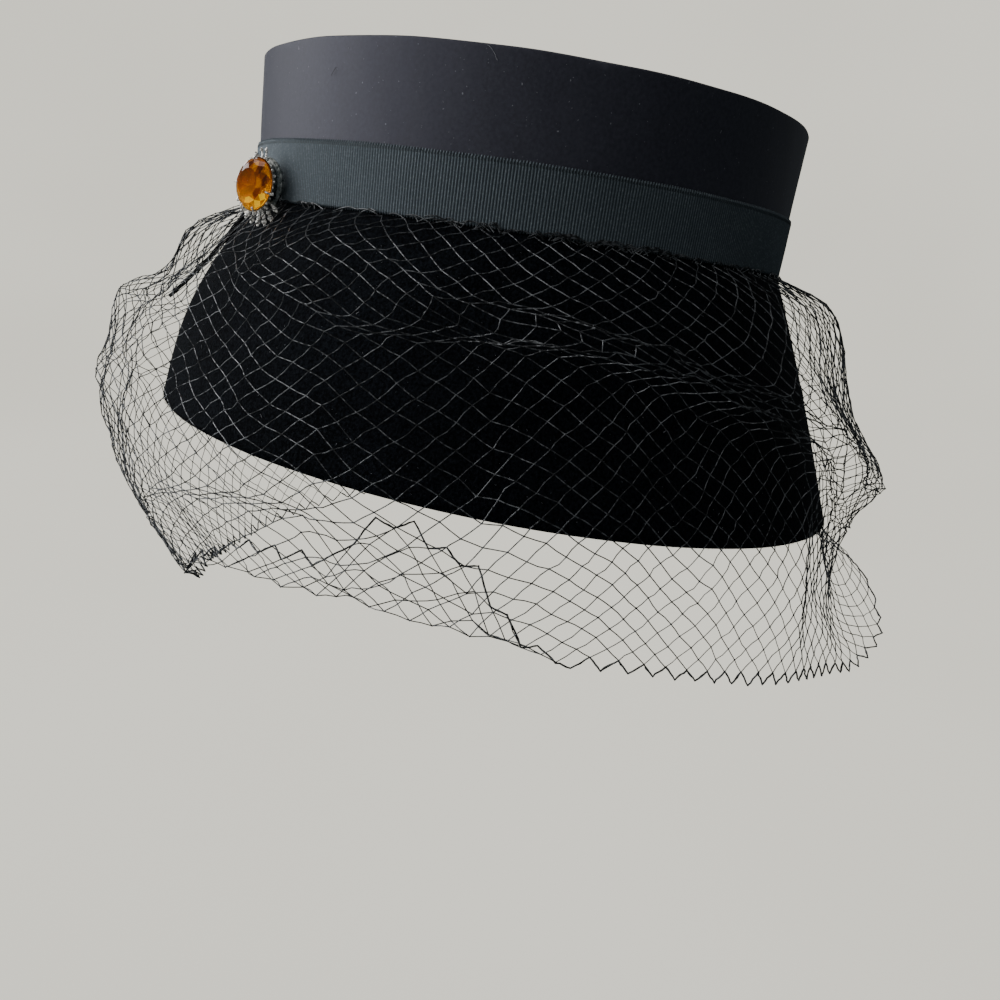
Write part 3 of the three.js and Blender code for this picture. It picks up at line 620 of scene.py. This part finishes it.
def velvet_skirt(velvet):
    """The velvet skirt: collar, flare, rounded rim and the inside."""
    turns = np.arange(ROUND) * 360 / ROUND
    columns = []
    for down in np.linspace(0, 0.985, 24):
        columns.append(np.stack(skirt_sections(turns, down), -1))
    rim = np.stack([rim_radius(turns), rim_height(turns)], -1)
    start = np.array([WAIST_RADIUS + SHOULDER, -GAP - SHOULDER])
    along = rim - start
    along /= np.linalg.norm(along, axis=1, keepdims=True)
    inward = np.stack([along[:, 1], -along[:, 0]], -1)
    half = SKIRT_WALL / 2
    middle = rim - along * half + inward * half
    for a in np.radians(np.linspace(10, 170, 9)):
        columns.append(middle + along * half * np.sin(a) - inward * half * np.cos(a))
    back = rim + inward * SKIRT_WALL
    inner_top = start + inward * SKIRT_WALL
    for share in np.linspace(0.03, 1, 14):
        line = back + (inner_top - back) * share
        line[:, 0] += bulge(turns, 1 - share)
        columns.append(line)
    ones = np.ones(len(turns))
    collar = crown_radius(COLLAR)
    for r, z in [(collar - SKIRT_WALL, COLLAR), (collar, COLLAR), (WAIST_RADIUS, 0),
                 (WAIST_RADIUS, -2 * GAP)]:
        columns.append(np.stack([r * ones, z * ones], -1))
    sections = np.stack(columns, 1)
    t = np.radians(turns)
    below_waist, under_rim = 4, 30
    uneven = 0.12 * np.sin(5 * t) + 0.08 * np.sin(19 * t + 1)
    sections[:, below_waist:under_rim, 0] += uneven[:, None]
    return piece("velvet_flare", *lathe(sections), velvet, "velvet", ["velvet_skirt"])


def velvet_pile(velvet):
    """Short blades of pile that stand on the flare, thicker along the rim."""
    body, rim = 30000, 16000
    turns = chance.uniform(0, 360, body + rim)
    down = np.concatenate([chance.uniform(0.03, 1, body), chance.uniform(0.985, 1.0, rim)])
    radius, z = skirt_sections(turns, down)
    out = on_turn(turns, 1, 0)
    lean = np.concatenate([np.full(body, -0.28), chance.uniform(-1.6, 0.1, rim)])
    grow = out + np.array([0, 0, 1]) * lean[:, None] + chance.normal(0, 0.35, (body + rim, 3))
    grow /= np.linalg.norm(grow, axis=1, keepdims=True)
    length = chance.uniform(0.35, 0.75, body + rim)[:, None]
    length[body:] *= 1.5
    foot = on_turn(turns, radius, z) - out * 0.1
    foot[body:] -= out[body:] * chance.uniform(0, 1.6, rim)[:, None]
    foot[body:, 2] += 0.25
    side = np.cross(grow, chance.normal(0, 1, (body + rim, 3)))
    side *= 0.07 / np.linalg.norm(side, axis=1, keepdims=True)
    points = np.stack([foot - side, foot + side, foot + grow * length], 1)
    faces = np.arange(len(points) * 3).reshape(-1, 3)
    return piece("velvet_pile", points.reshape(-1, 3), faces, velvet, "velvet")


def lint(finish):
    """Specks and short fibres of lint on the velvet and the crown, and a hair by its top edge."""
    count = 900
    turns = chance.uniform(0, 360, count)
    down = chance.uniform(0.05, 0.97, count)
    radius, z = skirt_sections(turns, down)
    top = chance.random(count) < 0.06
    z = np.where(top, chance.uniform(21, 47, count), z)
    radius = np.where(top, crown_radius(z), radius) + 0.35
    centre = on_turn(turns, radius, z)
    out = on_turn(turns, 1, 0)
    way = np.cross(out, chance.normal(0, 1, (count, 3)))
    way /= np.linalg.norm(way, axis=1, keepdims=True)
    bend = np.cross(way, out)
    long = (0.12 + chance.exponential(0.3, count) ** 1.6).clip(0.12, 2.8)[:, None]
    steps = np.linspace(-0.5, 0.5, 5)
    curl = chance.uniform(-0.7, 0.7, count)[:, None]
    paths = [centre + way * long * s + bend * long * curl * (s * s - 0.1) for s in steps]
    paths = np.stack(paths, 1)
    share = np.linspace(0, 1, 8)
    hair = on_turn(81.9 + 1.9 * share, CROWN_RADIUS + 0.12, 48.3 - 3.6 * share ** 1.7)
    specks, fibre = cords(paths, 0.055, 3), cords(hair[None], 0.07, 4)
    return piece("lint", *together(specks, fibre), finish, "velvet")


def loose_fibre(finish):
    """The dark bit of thread stuck to the crown."""
    share = np.linspace(0, 1, 6)
    path = on_turn(52.6 + 1.1 * share, CROWN_RADIUS + 0.1, 37.6 + 3 * share - 0.6 * share ** 2)
    return piece("loose_fibre", *cords(path[None], 0.09, 4), finish, "satin")


# The veil

def folds_from(shift):
    table = np.array(VEIL_FOLDS, float)
    table[:, 0] += shift
    return table


def waves(table, a, deep):
    """A table's waves added up, at angle a round the hat and deep down the cloth."""
    return sum(high * np.sin(around * a + down * deep + start)
               for high, around, down, start in table)


def hump(x, middle, width):
    """1 at the middle, falling smoothly to 0 on both sides of it."""
    return np.exp(-((x - middle) / width) ** 2)


def near_front(turns):
    """1 just past the front of the hat, falling to 0 round its sides."""
    return hump((turns + 180) % 360, 188, 30)[None]


def veil_drape(turns, deep):
    """Radius and height of the hanging cloth: shares down it by turns."""
    laps = np.concatenate([folds_from(shift) for shift in (-360, 0, 360)])
    folds = through_knots(laps[:, 0], laps[:, 1:], turns % 360)
    radii = np.concatenate([np.zeros((len(turns), 1)), folds[:, 0::2]], 1).T
    depths = np.concatenate([np.full((len(turns), 1), 1 / VEIL_DROP), folds[:, 1::2]], 1).T
    radius = VEIL_START + VEIL_SPREAD * through_knots(FOLD_SHARES, radii, deep[:, 0])
    height = -VEIL_DROP * through_knots(FOLD_SHARES, depths, deep[:, 0])
    a = np.radians(turns)[None]
    middle = np.sin(np.pi * deep)
    radius += 1.8 * middle * np.sin(11 * a + 0.7) + middle ** 0.6 * waves(LONG_WAVES, a, deep)
    crumple = hump(deep, 0.42, 0.22) * (0.25 + 0.9 * near_front(turns))
    radius += crumple * waves(CRUMPLES_OUT, a, deep)
    height += crumple * waves(CRUMPLES_DOWN, a, deep)
    gather = hump(deep, 0.05, 0.07) * np.clip(deep / 0.02, 0, 1)
    radius += gather * (0.9 + waves(GATHERS, a, deep))
    return radius, height


def with_hem(radius, height, side, deep):
    """The cloth with its hem: the strip that is turned under goes on in a round fold."""
    under = np.interp(side, HEM[:, 0], HEM[:, 1])
    height = height + 3.2 * np.clip(under / 20, 0, 1) * deep ** 5
    slope = np.arctan2(height[-1] - height[-4], radius[-1] - radius[-4])
    steps = np.arange(1, HEM_STEPS + 1)[:, None] / HEM_STEPS
    fold = np.radians(-140) * np.clip(steps * under / 6, 0, 1) * np.clip(under / 4, 0, 1)
    step = under / HEM_STEPS
    radius = np.concatenate([radius, radius[-1] + np.cumsum(np.cos(slope + fold) * step, 0)])
    height = np.concatenate([height, height[-1] + np.cumsum(np.sin(slope + fold) * step, 0)])
    return radius, height


def crease_shares(side):
    return [np.interp(side, CREASES[:, 0], CREASES[:, k]) for k in (1, 2)]


def bunching(turns, side, whole):
    """How much closer the net's rows lie in its creases."""
    first, second = crease_shares(side)
    bunch = 6 * hump(whole, first, 0.014) * (1 - hump(side, 60, 18))
    bunch += 6 * hump(whole, second, 0.012) * (1 - hump(side, 42, 16))
    bunch *= (0.7 + 0.3 * np.sin(np.radians(3 * turns) + 1)) * (1 - 0.75 * near_front(turns))
    return bunch + 3.5 * hump(whole, THIRD_CREASE, 0.016) * np.exp(-((side - 45) / 30) ** 4)


def slid_round(side, whole):
    """How far round the hat the net has slid from its seam, in degrees."""
    first, second = crease_shares(side)
    across = ((whole - first) / (second - first)).clip(0, 1)
    below = ((whole - second) / (1 - second)).clip(0, 1)
    slide = 4.5 * across ** 2 * (3 - 2 * across) * hump(side, 78, 32)
    pinched = 0.8 * hump(whole, 0.8, 0.13) * hump(side, PINCH_TURN, 16)
    return slide + 8 * below * hump(side, 95, 45) - pinched * (side - PINCH_TURN)


def veil_surface(turns, rows):
    """Radius, height, bunching and slide of the net's rows at each turn, and the length of the
    cloth down each. The rows run on round the turned-under hem."""
    deep = np.linspace(0, 1, CLOTH_STEPS + 1)[:, None]
    side = (turns + 60) % 360 - 60
    radius, height = with_hem(*veil_drape(turns, deep), side, deep)
    whole = np.concatenate([deep, np.linspace(1, 1.3, HEM_STEPS)[:, None]])
    columns = (radius, height, bunching(turns, side, whole), slid_round(side, whole))
    run = np.hypot(np.diff(radius, axis=0), np.diff(height, axis=0))
    open_rows = (0.35 + 0.25 * hump(side, 60, 15)) * hump(whole[1:], 0, 0.22)
    rung = np.cumsum(run * (1 - open_rows + columns[2][1:]), 0)
    rung = np.concatenate([np.zeros((1, len(turns))), rung])
    rows_of = []
    for k in range(len(turns)):
        at = np.linspace(0, rung[-1, k], rows + 1)
        rows_of.append([np.interp(at, rung[:, k], column[:, k]) for column in columns])
    return np.array(rows_of), run.sum(0)


def net_knots():
    """Where the net's knots lie: half columns by rows, used where their sum is even."""
    halves = 2 * MESHES_AROUND
    fine = np.arange(0, 360, 0.5)
    cloth, run = veil_surface(fine, MESH_ROWS)
    row = np.arange(MESH_ROWS + 1)[None]

    def on_cloth(turns):
        low = np.floor(turns * 2).astype(int) % len(fine)
        part = (turns * 2 % 1)[..., None]
        return cloth[low, :, row] * (1 - part) + cloth[(low + 1) % len(fine), :, row] * part

    even = FIRST_KNOT + np.arange(halves) * 360 / halves
    turns = even - WIDER_AT_SIDES * np.sin(np.radians(2 * even))
    turns = turns[:, None] + np.zeros(MESH_ROWS + 1)
    turns = turns + on_cloth(turns)[..., 3]
    radius, height, bunched = np.moveaxis(on_cloth(turns)[..., :3], -1, 0)
    knots = on_turn(turns, radius, height)
    ahead = np.roll(knots, -1, 0) - np.roll(knots, 1, 0)
    ahead /= np.linalg.norm(ahead, axis=-1, keepdims=True)
    downward = np.gradient(knots, axis=1)
    downward /= np.linalg.norm(downward, axis=-1, keepdims=True)
    loose = np.clip(row / 6, 0.1, 1) * (1 + 0.25 * bunched)
    out = np.cross(ahead, downward)
    for way, slack in ((ahead, 0.22), (downward, 0.2), (out, 0.14)):
        knots = knots + way * (chance.normal(0, slack, loose.shape) * loose)[..., None]
    knots = knots + out * (bunched * chance.normal(0, 0.2, loose.shape))[..., None]
    return knots, run


def net_threads(knots):
    """The two sets of threads: each side of each mesh as a short, slightly slack thread."""
    halves, rows = knots.shape[:2]
    j, i = np.meshgrid(np.arange(halves), np.arange(rows - 1), indexing="ij")
    use = (i + j) % 2 == 0
    j, i = j[use], i[use]
    paths = []
    for step in (1, -1):
        first, second = knots[j, i], knots[(j + step) % halves, i + 1]
        middle = (first + second) / 2
        slack = 0.11 if step > 0 else 0.24
        middle = middle + chance.normal(0, slack, middle.shape)
        paths.append(np.stack([first, middle, second], 1))
    return np.concatenate(paths)


def veil(thread):
    """The net veil: threads and their knots, gathered at the waist."""
    knots, run = net_knots()
    halves, rows = knots.shape[:2]
    threads = net_threads(knots)
    j, i = np.meshgrid(np.arange(halves), np.arange(rows), indexing="ij")
    use = (i + j) % 2 == 0
    size = chance.uniform(0.24, 0.4, use.sum())
    shape = together(cords(threads, THREAD / 2, 4), small_knots(knots[use], size))
    net = piece("net_veil", *shape, thread, "net", ["veil"])
    return net, knots, run


def selvage(thread, knots):
    """The thicker thread that zigzags along the hem through the last two rows of knots."""
    halves, rows = knots.shape[:2]
    last = rows - 1
    j = np.arange(halves + 1) % halves
    zigzag = np.where(((j + last) % 2 == 0)[:, None], knots[j, last], knots[j, last - 1])
    fine = np.linspace(0, halves, halves * 4 + 1)
    path = np.stack([np.interp(fine, np.arange(halves + 1), zigzag[:, k]) for k in range(3)], -1)
    path[1:-1] += chance.normal(0, 0.12, path[1:-1].shape)
    shape = cords(path[None], THREAD * 0.85, 6)
    return piece("veil_selvage", *shape, thread, "net")


def stitched_heading(thread, knots):
    """Short ends of the net, caught under and over the ribbon's lower edge."""
    turns = np.concatenate([chance.uniform(0, 360, 170), chance.uniform(80, 122, 40)])
    rise = np.concatenate([chance.uniform(0.1, 0.7, 170), chance.uniform(0.4, 1.6, 40)])
    lean = chance.choice([-1, 1], len(turns)) * chance.uniform(1.5, 5.5, len(turns))
    outer = RIBBON_OUTER + 0.3
    paths = []
    for share in (0, 0.3, 0.6, 0.8, 1.0):
        height = -1.4 + (rise + 1.4) * np.sin(share * 2.3) * 0.98
        radius = np.where(height > -0.4, outer, VEIL_START - 0.4)
        paths.append(on_turn(turns + lean * share, radius + 0.3 * share, height))
    shape = cords(np.stack(paths, 1), THREAD / 2, 4)
    return piece("veil_heading", *shape, thread, "net")


def rolled_end(thread):
    """The veil's rolled end beside the brooch: threads twisted into a tapering roll."""
    route = []
    for turn, off, deep in SEAM_ROUTE:
        depth = deep * VEIL_DROP
        seat = skirt_radius(turn, depth) + GAP + SEAM_RADIUS
        route.append(on_turn(turn, seat + off * VEIL_SPREAD, -depth))
    steps = np.linspace(0, 1, 60)
    centre = through_knots([0, 1 / 3, 2 / 3, 1], np.array(route), steps)
    ahead = np.gradient(centre, axis=0)
    ahead /= np.linalg.norm(ahead, axis=1, keepdims=True)
    across = np.cross([0, 0, 1], ahead)
    across /= np.linalg.norm(across, axis=1, keepdims=True)
    up = np.cross(ahead, across)
    paths = []
    plies = 14
    for ply in range(plies):
        ring = 0.6 if ply % 2 else 0.3
        a = 2 * np.pi * ply / plies + steps * (13 if ply % 2 else -9)
        r = SEAM_RADIUS * (1 - 0.4 * steps) * ring * (1 + 0.18 * np.sin(steps * 37 + ply * 2))
        paths.append(centre + across * (r * np.cos(a))[:, None] + up * (r * np.sin(a))[:, None])
    shape = cords(np.array(paths), 0.26, 5)
    return piece("rolled_end", *shape, thread, "net", ["veil_seam"])


# The brooch

def brooch_place():
    facing, lean = np.radians(BROOCH_FACING), np.radians(BROOCH_LEAN)
    across = np.array([np.cos(facing), np.sin(facing), 0])
    up = np.array([0, 0, 1.0])
    ahead = np.array([np.sin(facing), -np.cos(facing), 0])
    side = across * np.cos(lean) - up * np.sin(lean)
    top = across * np.sin(lean) + up * np.cos(lean)
    centre = on_turn(BROOCH_TURN, RIBBON_OUTER + BROOCH_STANDOFF, BROOCH_HEIGHT)
    return centre, np.stack([side, top, ahead])


def on_brooch(points):
    centre, axes = brooch_place()
    return centre + np.asarray(points, float).reshape(-1, 3) @ axes


def oval(margin, z, sides, offset=0.0, share=1.0):
    a = 2 * np.pi * (np.arange(sides) + offset) / sides
    x = (STONE_WIDE / 2 + margin) * share * np.cos(a)
    y = (STONE_LONG / 2 + margin) * share * np.sin(a)
    return np.stack([x, y, np.full(sides, float(z))], -1)


def amber_stone(amber):
    """The faceted oval stone: table, three tiers of crown facets, girdle and pavilion."""
    n = 16
    base, top = GIRDLE, GIRDLE + 0.5
    rings = [
        oval(0, top + 3.4, n, 0.5, 0.56), oval(0, top + 2.45, n, 0, 0.77),
        oval(0, top + 1.15, n, 0.5, 0.92), oval(0, top, n, 0, 1), oval(0, base, n, 0, 1),
        oval(0, base - 1.5, n, 0.5, 0.72), oval(0, base - 2.7, n, 0, 0.4),
        oval(0, base - 3.5, n, 0.5, 0.1),
    ]
    points = np.concatenate(rings)
    faces = []
    for k in range(len(rings) - 1):
        for i in range(n):
            a, b = k * n + i, k * n + (i + 1) % n
            c, d = (k + 1) * n + i, (k + 1) * n + (i + 1) % n
            if k == 3:
                faces.append([a, c, d, b])
            elif k in (0, 2, 5):
                faces += [[a, c, d], [a, d, b]]
            else:
                faces += [[a, c, b], [b, c, d]]
    faces.append(list(range(n)))
    faces.append(list(range((len(rings) - 1) * n, len(rings) * n))[::-1])
    return piece("amber", on_brooch(points), faces, amber, "stone", ["amber_stone"], False)


def stone_foil(foil):
    """The faceted foil behind the stone, which throws its light back."""
    n = 18
    rings = [oval(0.05, GIRDLE - 0.1, n, 0), oval(0, GIRDLE - 1.9, n, 0.5, 0.74),
             oval(0, GIRDLE - 3.0, n, 0, 0.44), oval(0, GIRDLE - 3.75, n, 0.5, 0.12)]
    points = np.concatenate(rings)
    faces = []
    for k in range(len(rings) - 1):
        for i in range(n):
            a, b = k * n + i, k * n + (i + 1) % n
            c, d = (k + 1) * n + i, (k + 1) * n + (i + 1) % n
            faces += [[a, b, c], [b, d, c]] if k % 2 == 0 else [[a, d, c], [a, b, d]]
    faces += [[3 * n, 3 * n + i, 3 * n + i + 1] for i in range(1, n - 1)]
    return piece("stone_foil", on_brooch(points), faces, foil, "stone", (), False)


def ball(centre, radius, sides=10):
    rows = []
    b = np.arange(sides) * 2 * np.pi / sides
    for a in np.linspace(0.08, np.pi - 0.08, 7):
        height = np.full(sides, np.cos(a))
        rows.append(np.stack([np.sin(a) * np.cos(b), np.sin(a) * np.sin(b), height], -1))
    points = np.concatenate(rows) * radius + centre
    return points, grid_faces(len(rows), sides)


def metal_bar(start, end, radius, sides=8):
    """A round bar between two points of the brooch, closed at its ends."""
    start, end = np.array(start, float), np.array(end, float)
    ahead = (end - start) / np.linalg.norm(end - start)
    across = np.cross(ahead, [0.1, 0.2, 0.97])
    across /= np.linalg.norm(across)
    up = np.cross(ahead, across)
    a = np.arange(sides) * 2 * np.pi / sides
    ring = across * np.cos(a)[:, None] + up * np.sin(a)[:, None]
    rings = [start + ring * 0.02, start + ring * radius, end + ring * radius, end + ring * 0.02]
    return np.concatenate(rings), grid_faces(4, sides)


def brooch_setting(silver):
    """The setting: a rolled plate, a cup with a milled rim, and a post."""
    sides = 72
    cup = [
        oval(0.9, 0, sides), oval(1.05, 0.3, sides), oval(1.0, 0.75, sides),
        oval(0.75, PLATE, sides), oval(-0.4, 1.35, sides), oval(-0.35, 1.7, sides),
        oval(0.1, 3.4, sides),
        oval(0.42, 4.7, sides), oval(0.5, 4.95, sides), oval(0.4, 5.1, sides),
        oval(0.28, 5.05, sides), oval(0.2, 4.9, sides), oval(0.12, 4.6, sides),
        oval(0.02, 4.2, sides), oval(0, 1.7, sides, 0, 0.7), oval(0, 1.6, sides, 0, 0.1),
        oval(0, 0, sides, 0, 0.1),
    ]
    centre, axes = brooch_place()
    behind = np.array([2.5, 0.0, 0.5])
    foot = behind.copy()
    ribbon = crown_radius(9) + GAP + RIBBON_THICKNESS + 0.1
    while np.linalg.norm((centre + foot @ axes)[:2]) > ribbon:
        foot[2] -= 0.1
    post = metal_bar(behind, foot, 1.5, 20)
    cup = np.concatenate(cup), grid_faces(len(cup), sides, close_rows=True)
    points, faces = together(cup, post)
    return piece("silver_setting", on_brooch(points), faces, silver, "setting", ["brooch_setting"])


def brooch_rays(silver):
    """The bright work on the setting: beads round its rim, rays and prongs."""
    shapes = []
    for k, (x, y, z) in enumerate(oval(0.55, RIM_OF_CUP, 30, 0.5)):
        shapes.append(ball((x, y, z - 0.3 * (k % 3)), 0.3 + 0.07 * (k * 5 % 4), 8))
    for angle, reach, width in RAYS:
        a = np.radians(angle)
        edge = np.array([STONE_WIDE / 2 * np.cos(a), STONE_LONG / 2 * np.sin(a)])
        out = edge / [STONE_WIDE ** 2, STONE_LONG ** 2]
        out /= np.linalg.norm(out)
        start, end = edge * 0.85, edge + out * RAY_LENGTH * reach
        shapes.append(metal_bar((*start, 0.8), (*end, 0.9), RAY_RADIUS * width))
        shapes.append(ball((*end, 1.0), 0.66 * width))
        shapes.append(ball((*(end + out * 0.75 * width), 0.95), 0.34 * width, 8))
        shapes.append(ball((*(edge + out * 1.15 * reach), 1.05), RAY_RADIUS * width, 8))
    for angle in PRONG_ANGLES:
        a = np.radians(angle)
        low = np.array([(STONE_WIDE / 2 + 0.9) * np.cos(a), (STONE_LONG / 2 + 0.9) * np.sin(a)])
        high = np.array([(STONE_WIDE / 2 - 0.5) * np.cos(a), (STONE_LONG / 2 - 0.5) * np.sin(a)])
        shapes.append(metal_bar((*low, 4.6), (*(low * 0.99), 6.1), 0.36))
        shapes.append(metal_bar((*(low * 0.99), 6.0), (*high, 6.8), 0.32))
        shapes.append(ball((*high, 6.75), 0.4))
    points, faces = together(*shapes)
    return piece("silver_rays", on_brooch(points), faces, silver, "setting")


# The stage

# The backdrop's section in metres: radius and height from the middle of the floor to the top
BACKDROP = np.array([
    (0.01, -0.42), (0.9, -0.42), (1.3, -0.41), (1.7, -0.34), (2.1, -0.14), (2.4, 0.2),
    (2.55, 0.7), (2.6, 1.3), (2.5, 2.2), (2.1, 2.9), (1.2, 3.4), (0.01, 3.5),
])


def stage(paper):
    """A pale floor that curves up into a backdrop all round and closes overhead."""
    turns = np.arange(96) * 360 / 96
    last = len(BACKDROP) - 1
    line = through_knots(np.arange(last + 1), BACKDROP, np.linspace(0, last, 90))
    points = on_turn(turns[:, None], line[None, :, 0], line[None, :, 1])
    mesh = bpy.data.meshes.new("backdrop")
    faces = grid_faces(*points.shape[:2], close_rows=True, close_columns=False)
    mesh.from_pydata(points.reshape(-1, 3).tolist(), [], faces[:, ::-1].tolist())
    mesh.polygons.foreach_set("use_smooth", np.full(len(mesh.polygons), True))
    mesh.materials.append(paper)
    floor = bpy.data.objects.new("backdrop", mesh)
    bpy.context.scene.collection.objects.link(floor)
    floor.visible_glossy = False
    floor.visible_diffuse = False
    floor.visible_shadow = False
    floor.visible_transmission = False


def lamp(name, place, aim, size, power, colour=(1, 1, 1)):
    light = bpy.data.lights.new(name, "AREA")
    light.shape, light.size, light.size_y = "RECTANGLE", *size
    light.energy, light.color = power, colour
    made = bpy.data.objects.new(name, light)
    made.location = place
    made.rotation_euler = (Vector(aim) - Vector(place)).to_track_quat("-Z", "Y").to_euler()
    bpy.context.scene.collection.objects.link(made)


def studio():
    world = bpy.data.worlds.new("studio")
    world.use_nodes = True
    world.node_tree.nodes["Background"].inputs["Color"].default_value = (0.82, 0.95, 1.0, 1)
    world.node_tree.nodes["Background"].inputs["Strength"].default_value = 0.105
    bpy.context.scene.world = world
    lamp("window", (0.1, -1.15, 0.3), (0, 0, -0.03), (1.3, 1.2), 20, (0.96, 0.98, 1.0))
    lamp("far_side", (-1.3, -0.3, 0.5), (0, 0, -0.05), (0.9, 0.9), 6)
    lamp("back_side", (-1.0, 1.2, 0.6), (0, 0, -0.05), (0.8, 0.8), 0.3)
    lamp("near_side", (1.2, -0.75, 0.5), (0, 0, -0.02), (1.0, 1.0), 5, (0.96, 0.99, 1.0))
    lamp("overhead", (-0.1, -0.1, 1.6), (0, 0, 0), (1.2, 1.2), 6)


def camera():
    right, up, ahead = (
        Vector((-0.03328, 0.98945, 0.14100)),
        Vector((-0.22729, -0.14487, 0.96299)),
        Vector((-0.97326, 0.0, -0.22971)),
    )
    lens = bpy.data.cameras.new("view")
    lens.lens, lens.sensor_width = 35, 36
    lens.clip_start = 0.01
    made = bpy.data.objects.new("view", lens)
    turned = Matrix((right, up, -ahead)).transposed().to_4x4()
    place = Vector((391.97, 7.66, -11.05)) * MM
    made.matrix_world = Matrix.Translation(place) @ turned
    bpy.context.scene.collection.objects.link(made)
    bpy.context.scene.camera = made


camera()
satin = satin_finish()
velvet = velvet_finish()
net_thread = thread_finish("net_thread", (0.075, 0.077, 0.082), 1.0)
crown_side(satin)
crown_tip(satin)
ribbon_band(ribbon_finish())
velvet_skirt(velvet)
velvet_pile(velvet)
lint(thread_finish("lint", (0.3, 0.3, 0.32), 0))
net, knots, run = veil(net_thread)
hem = selvage(net_thread, knots)
heading = stitched_heading(net_thread, knots)
dark_thread = thread_finish("dark_thread", (0.012, 0.012, 0.013), 0.5)
rolled_end(dark_thread)
loose_fibre(dark_thread)
amber_stone(amber_finish())
stone_foil(foil_finish())
tarnished = silver_finish("tarnished_silver", (0.16, 0.17, 0.16, 1), (0.5, 0.5, 0.47, 1), 0.0)
brooch_setting(tarnished)
# The rays' silver glows a little: painted light.
brooch_rays(silver_finish("silver", (0.2, 0.19, 0.17, 1), (1.0, 0.98, 0.93, 1), 0.17))
across = 2 * np.pi * np.linalg.norm(knots[..., :2], axis=-1).mean(0).max() * MM
flat = (float(across), float(run.mean() * MM))
stage(stage_finish())
studio()
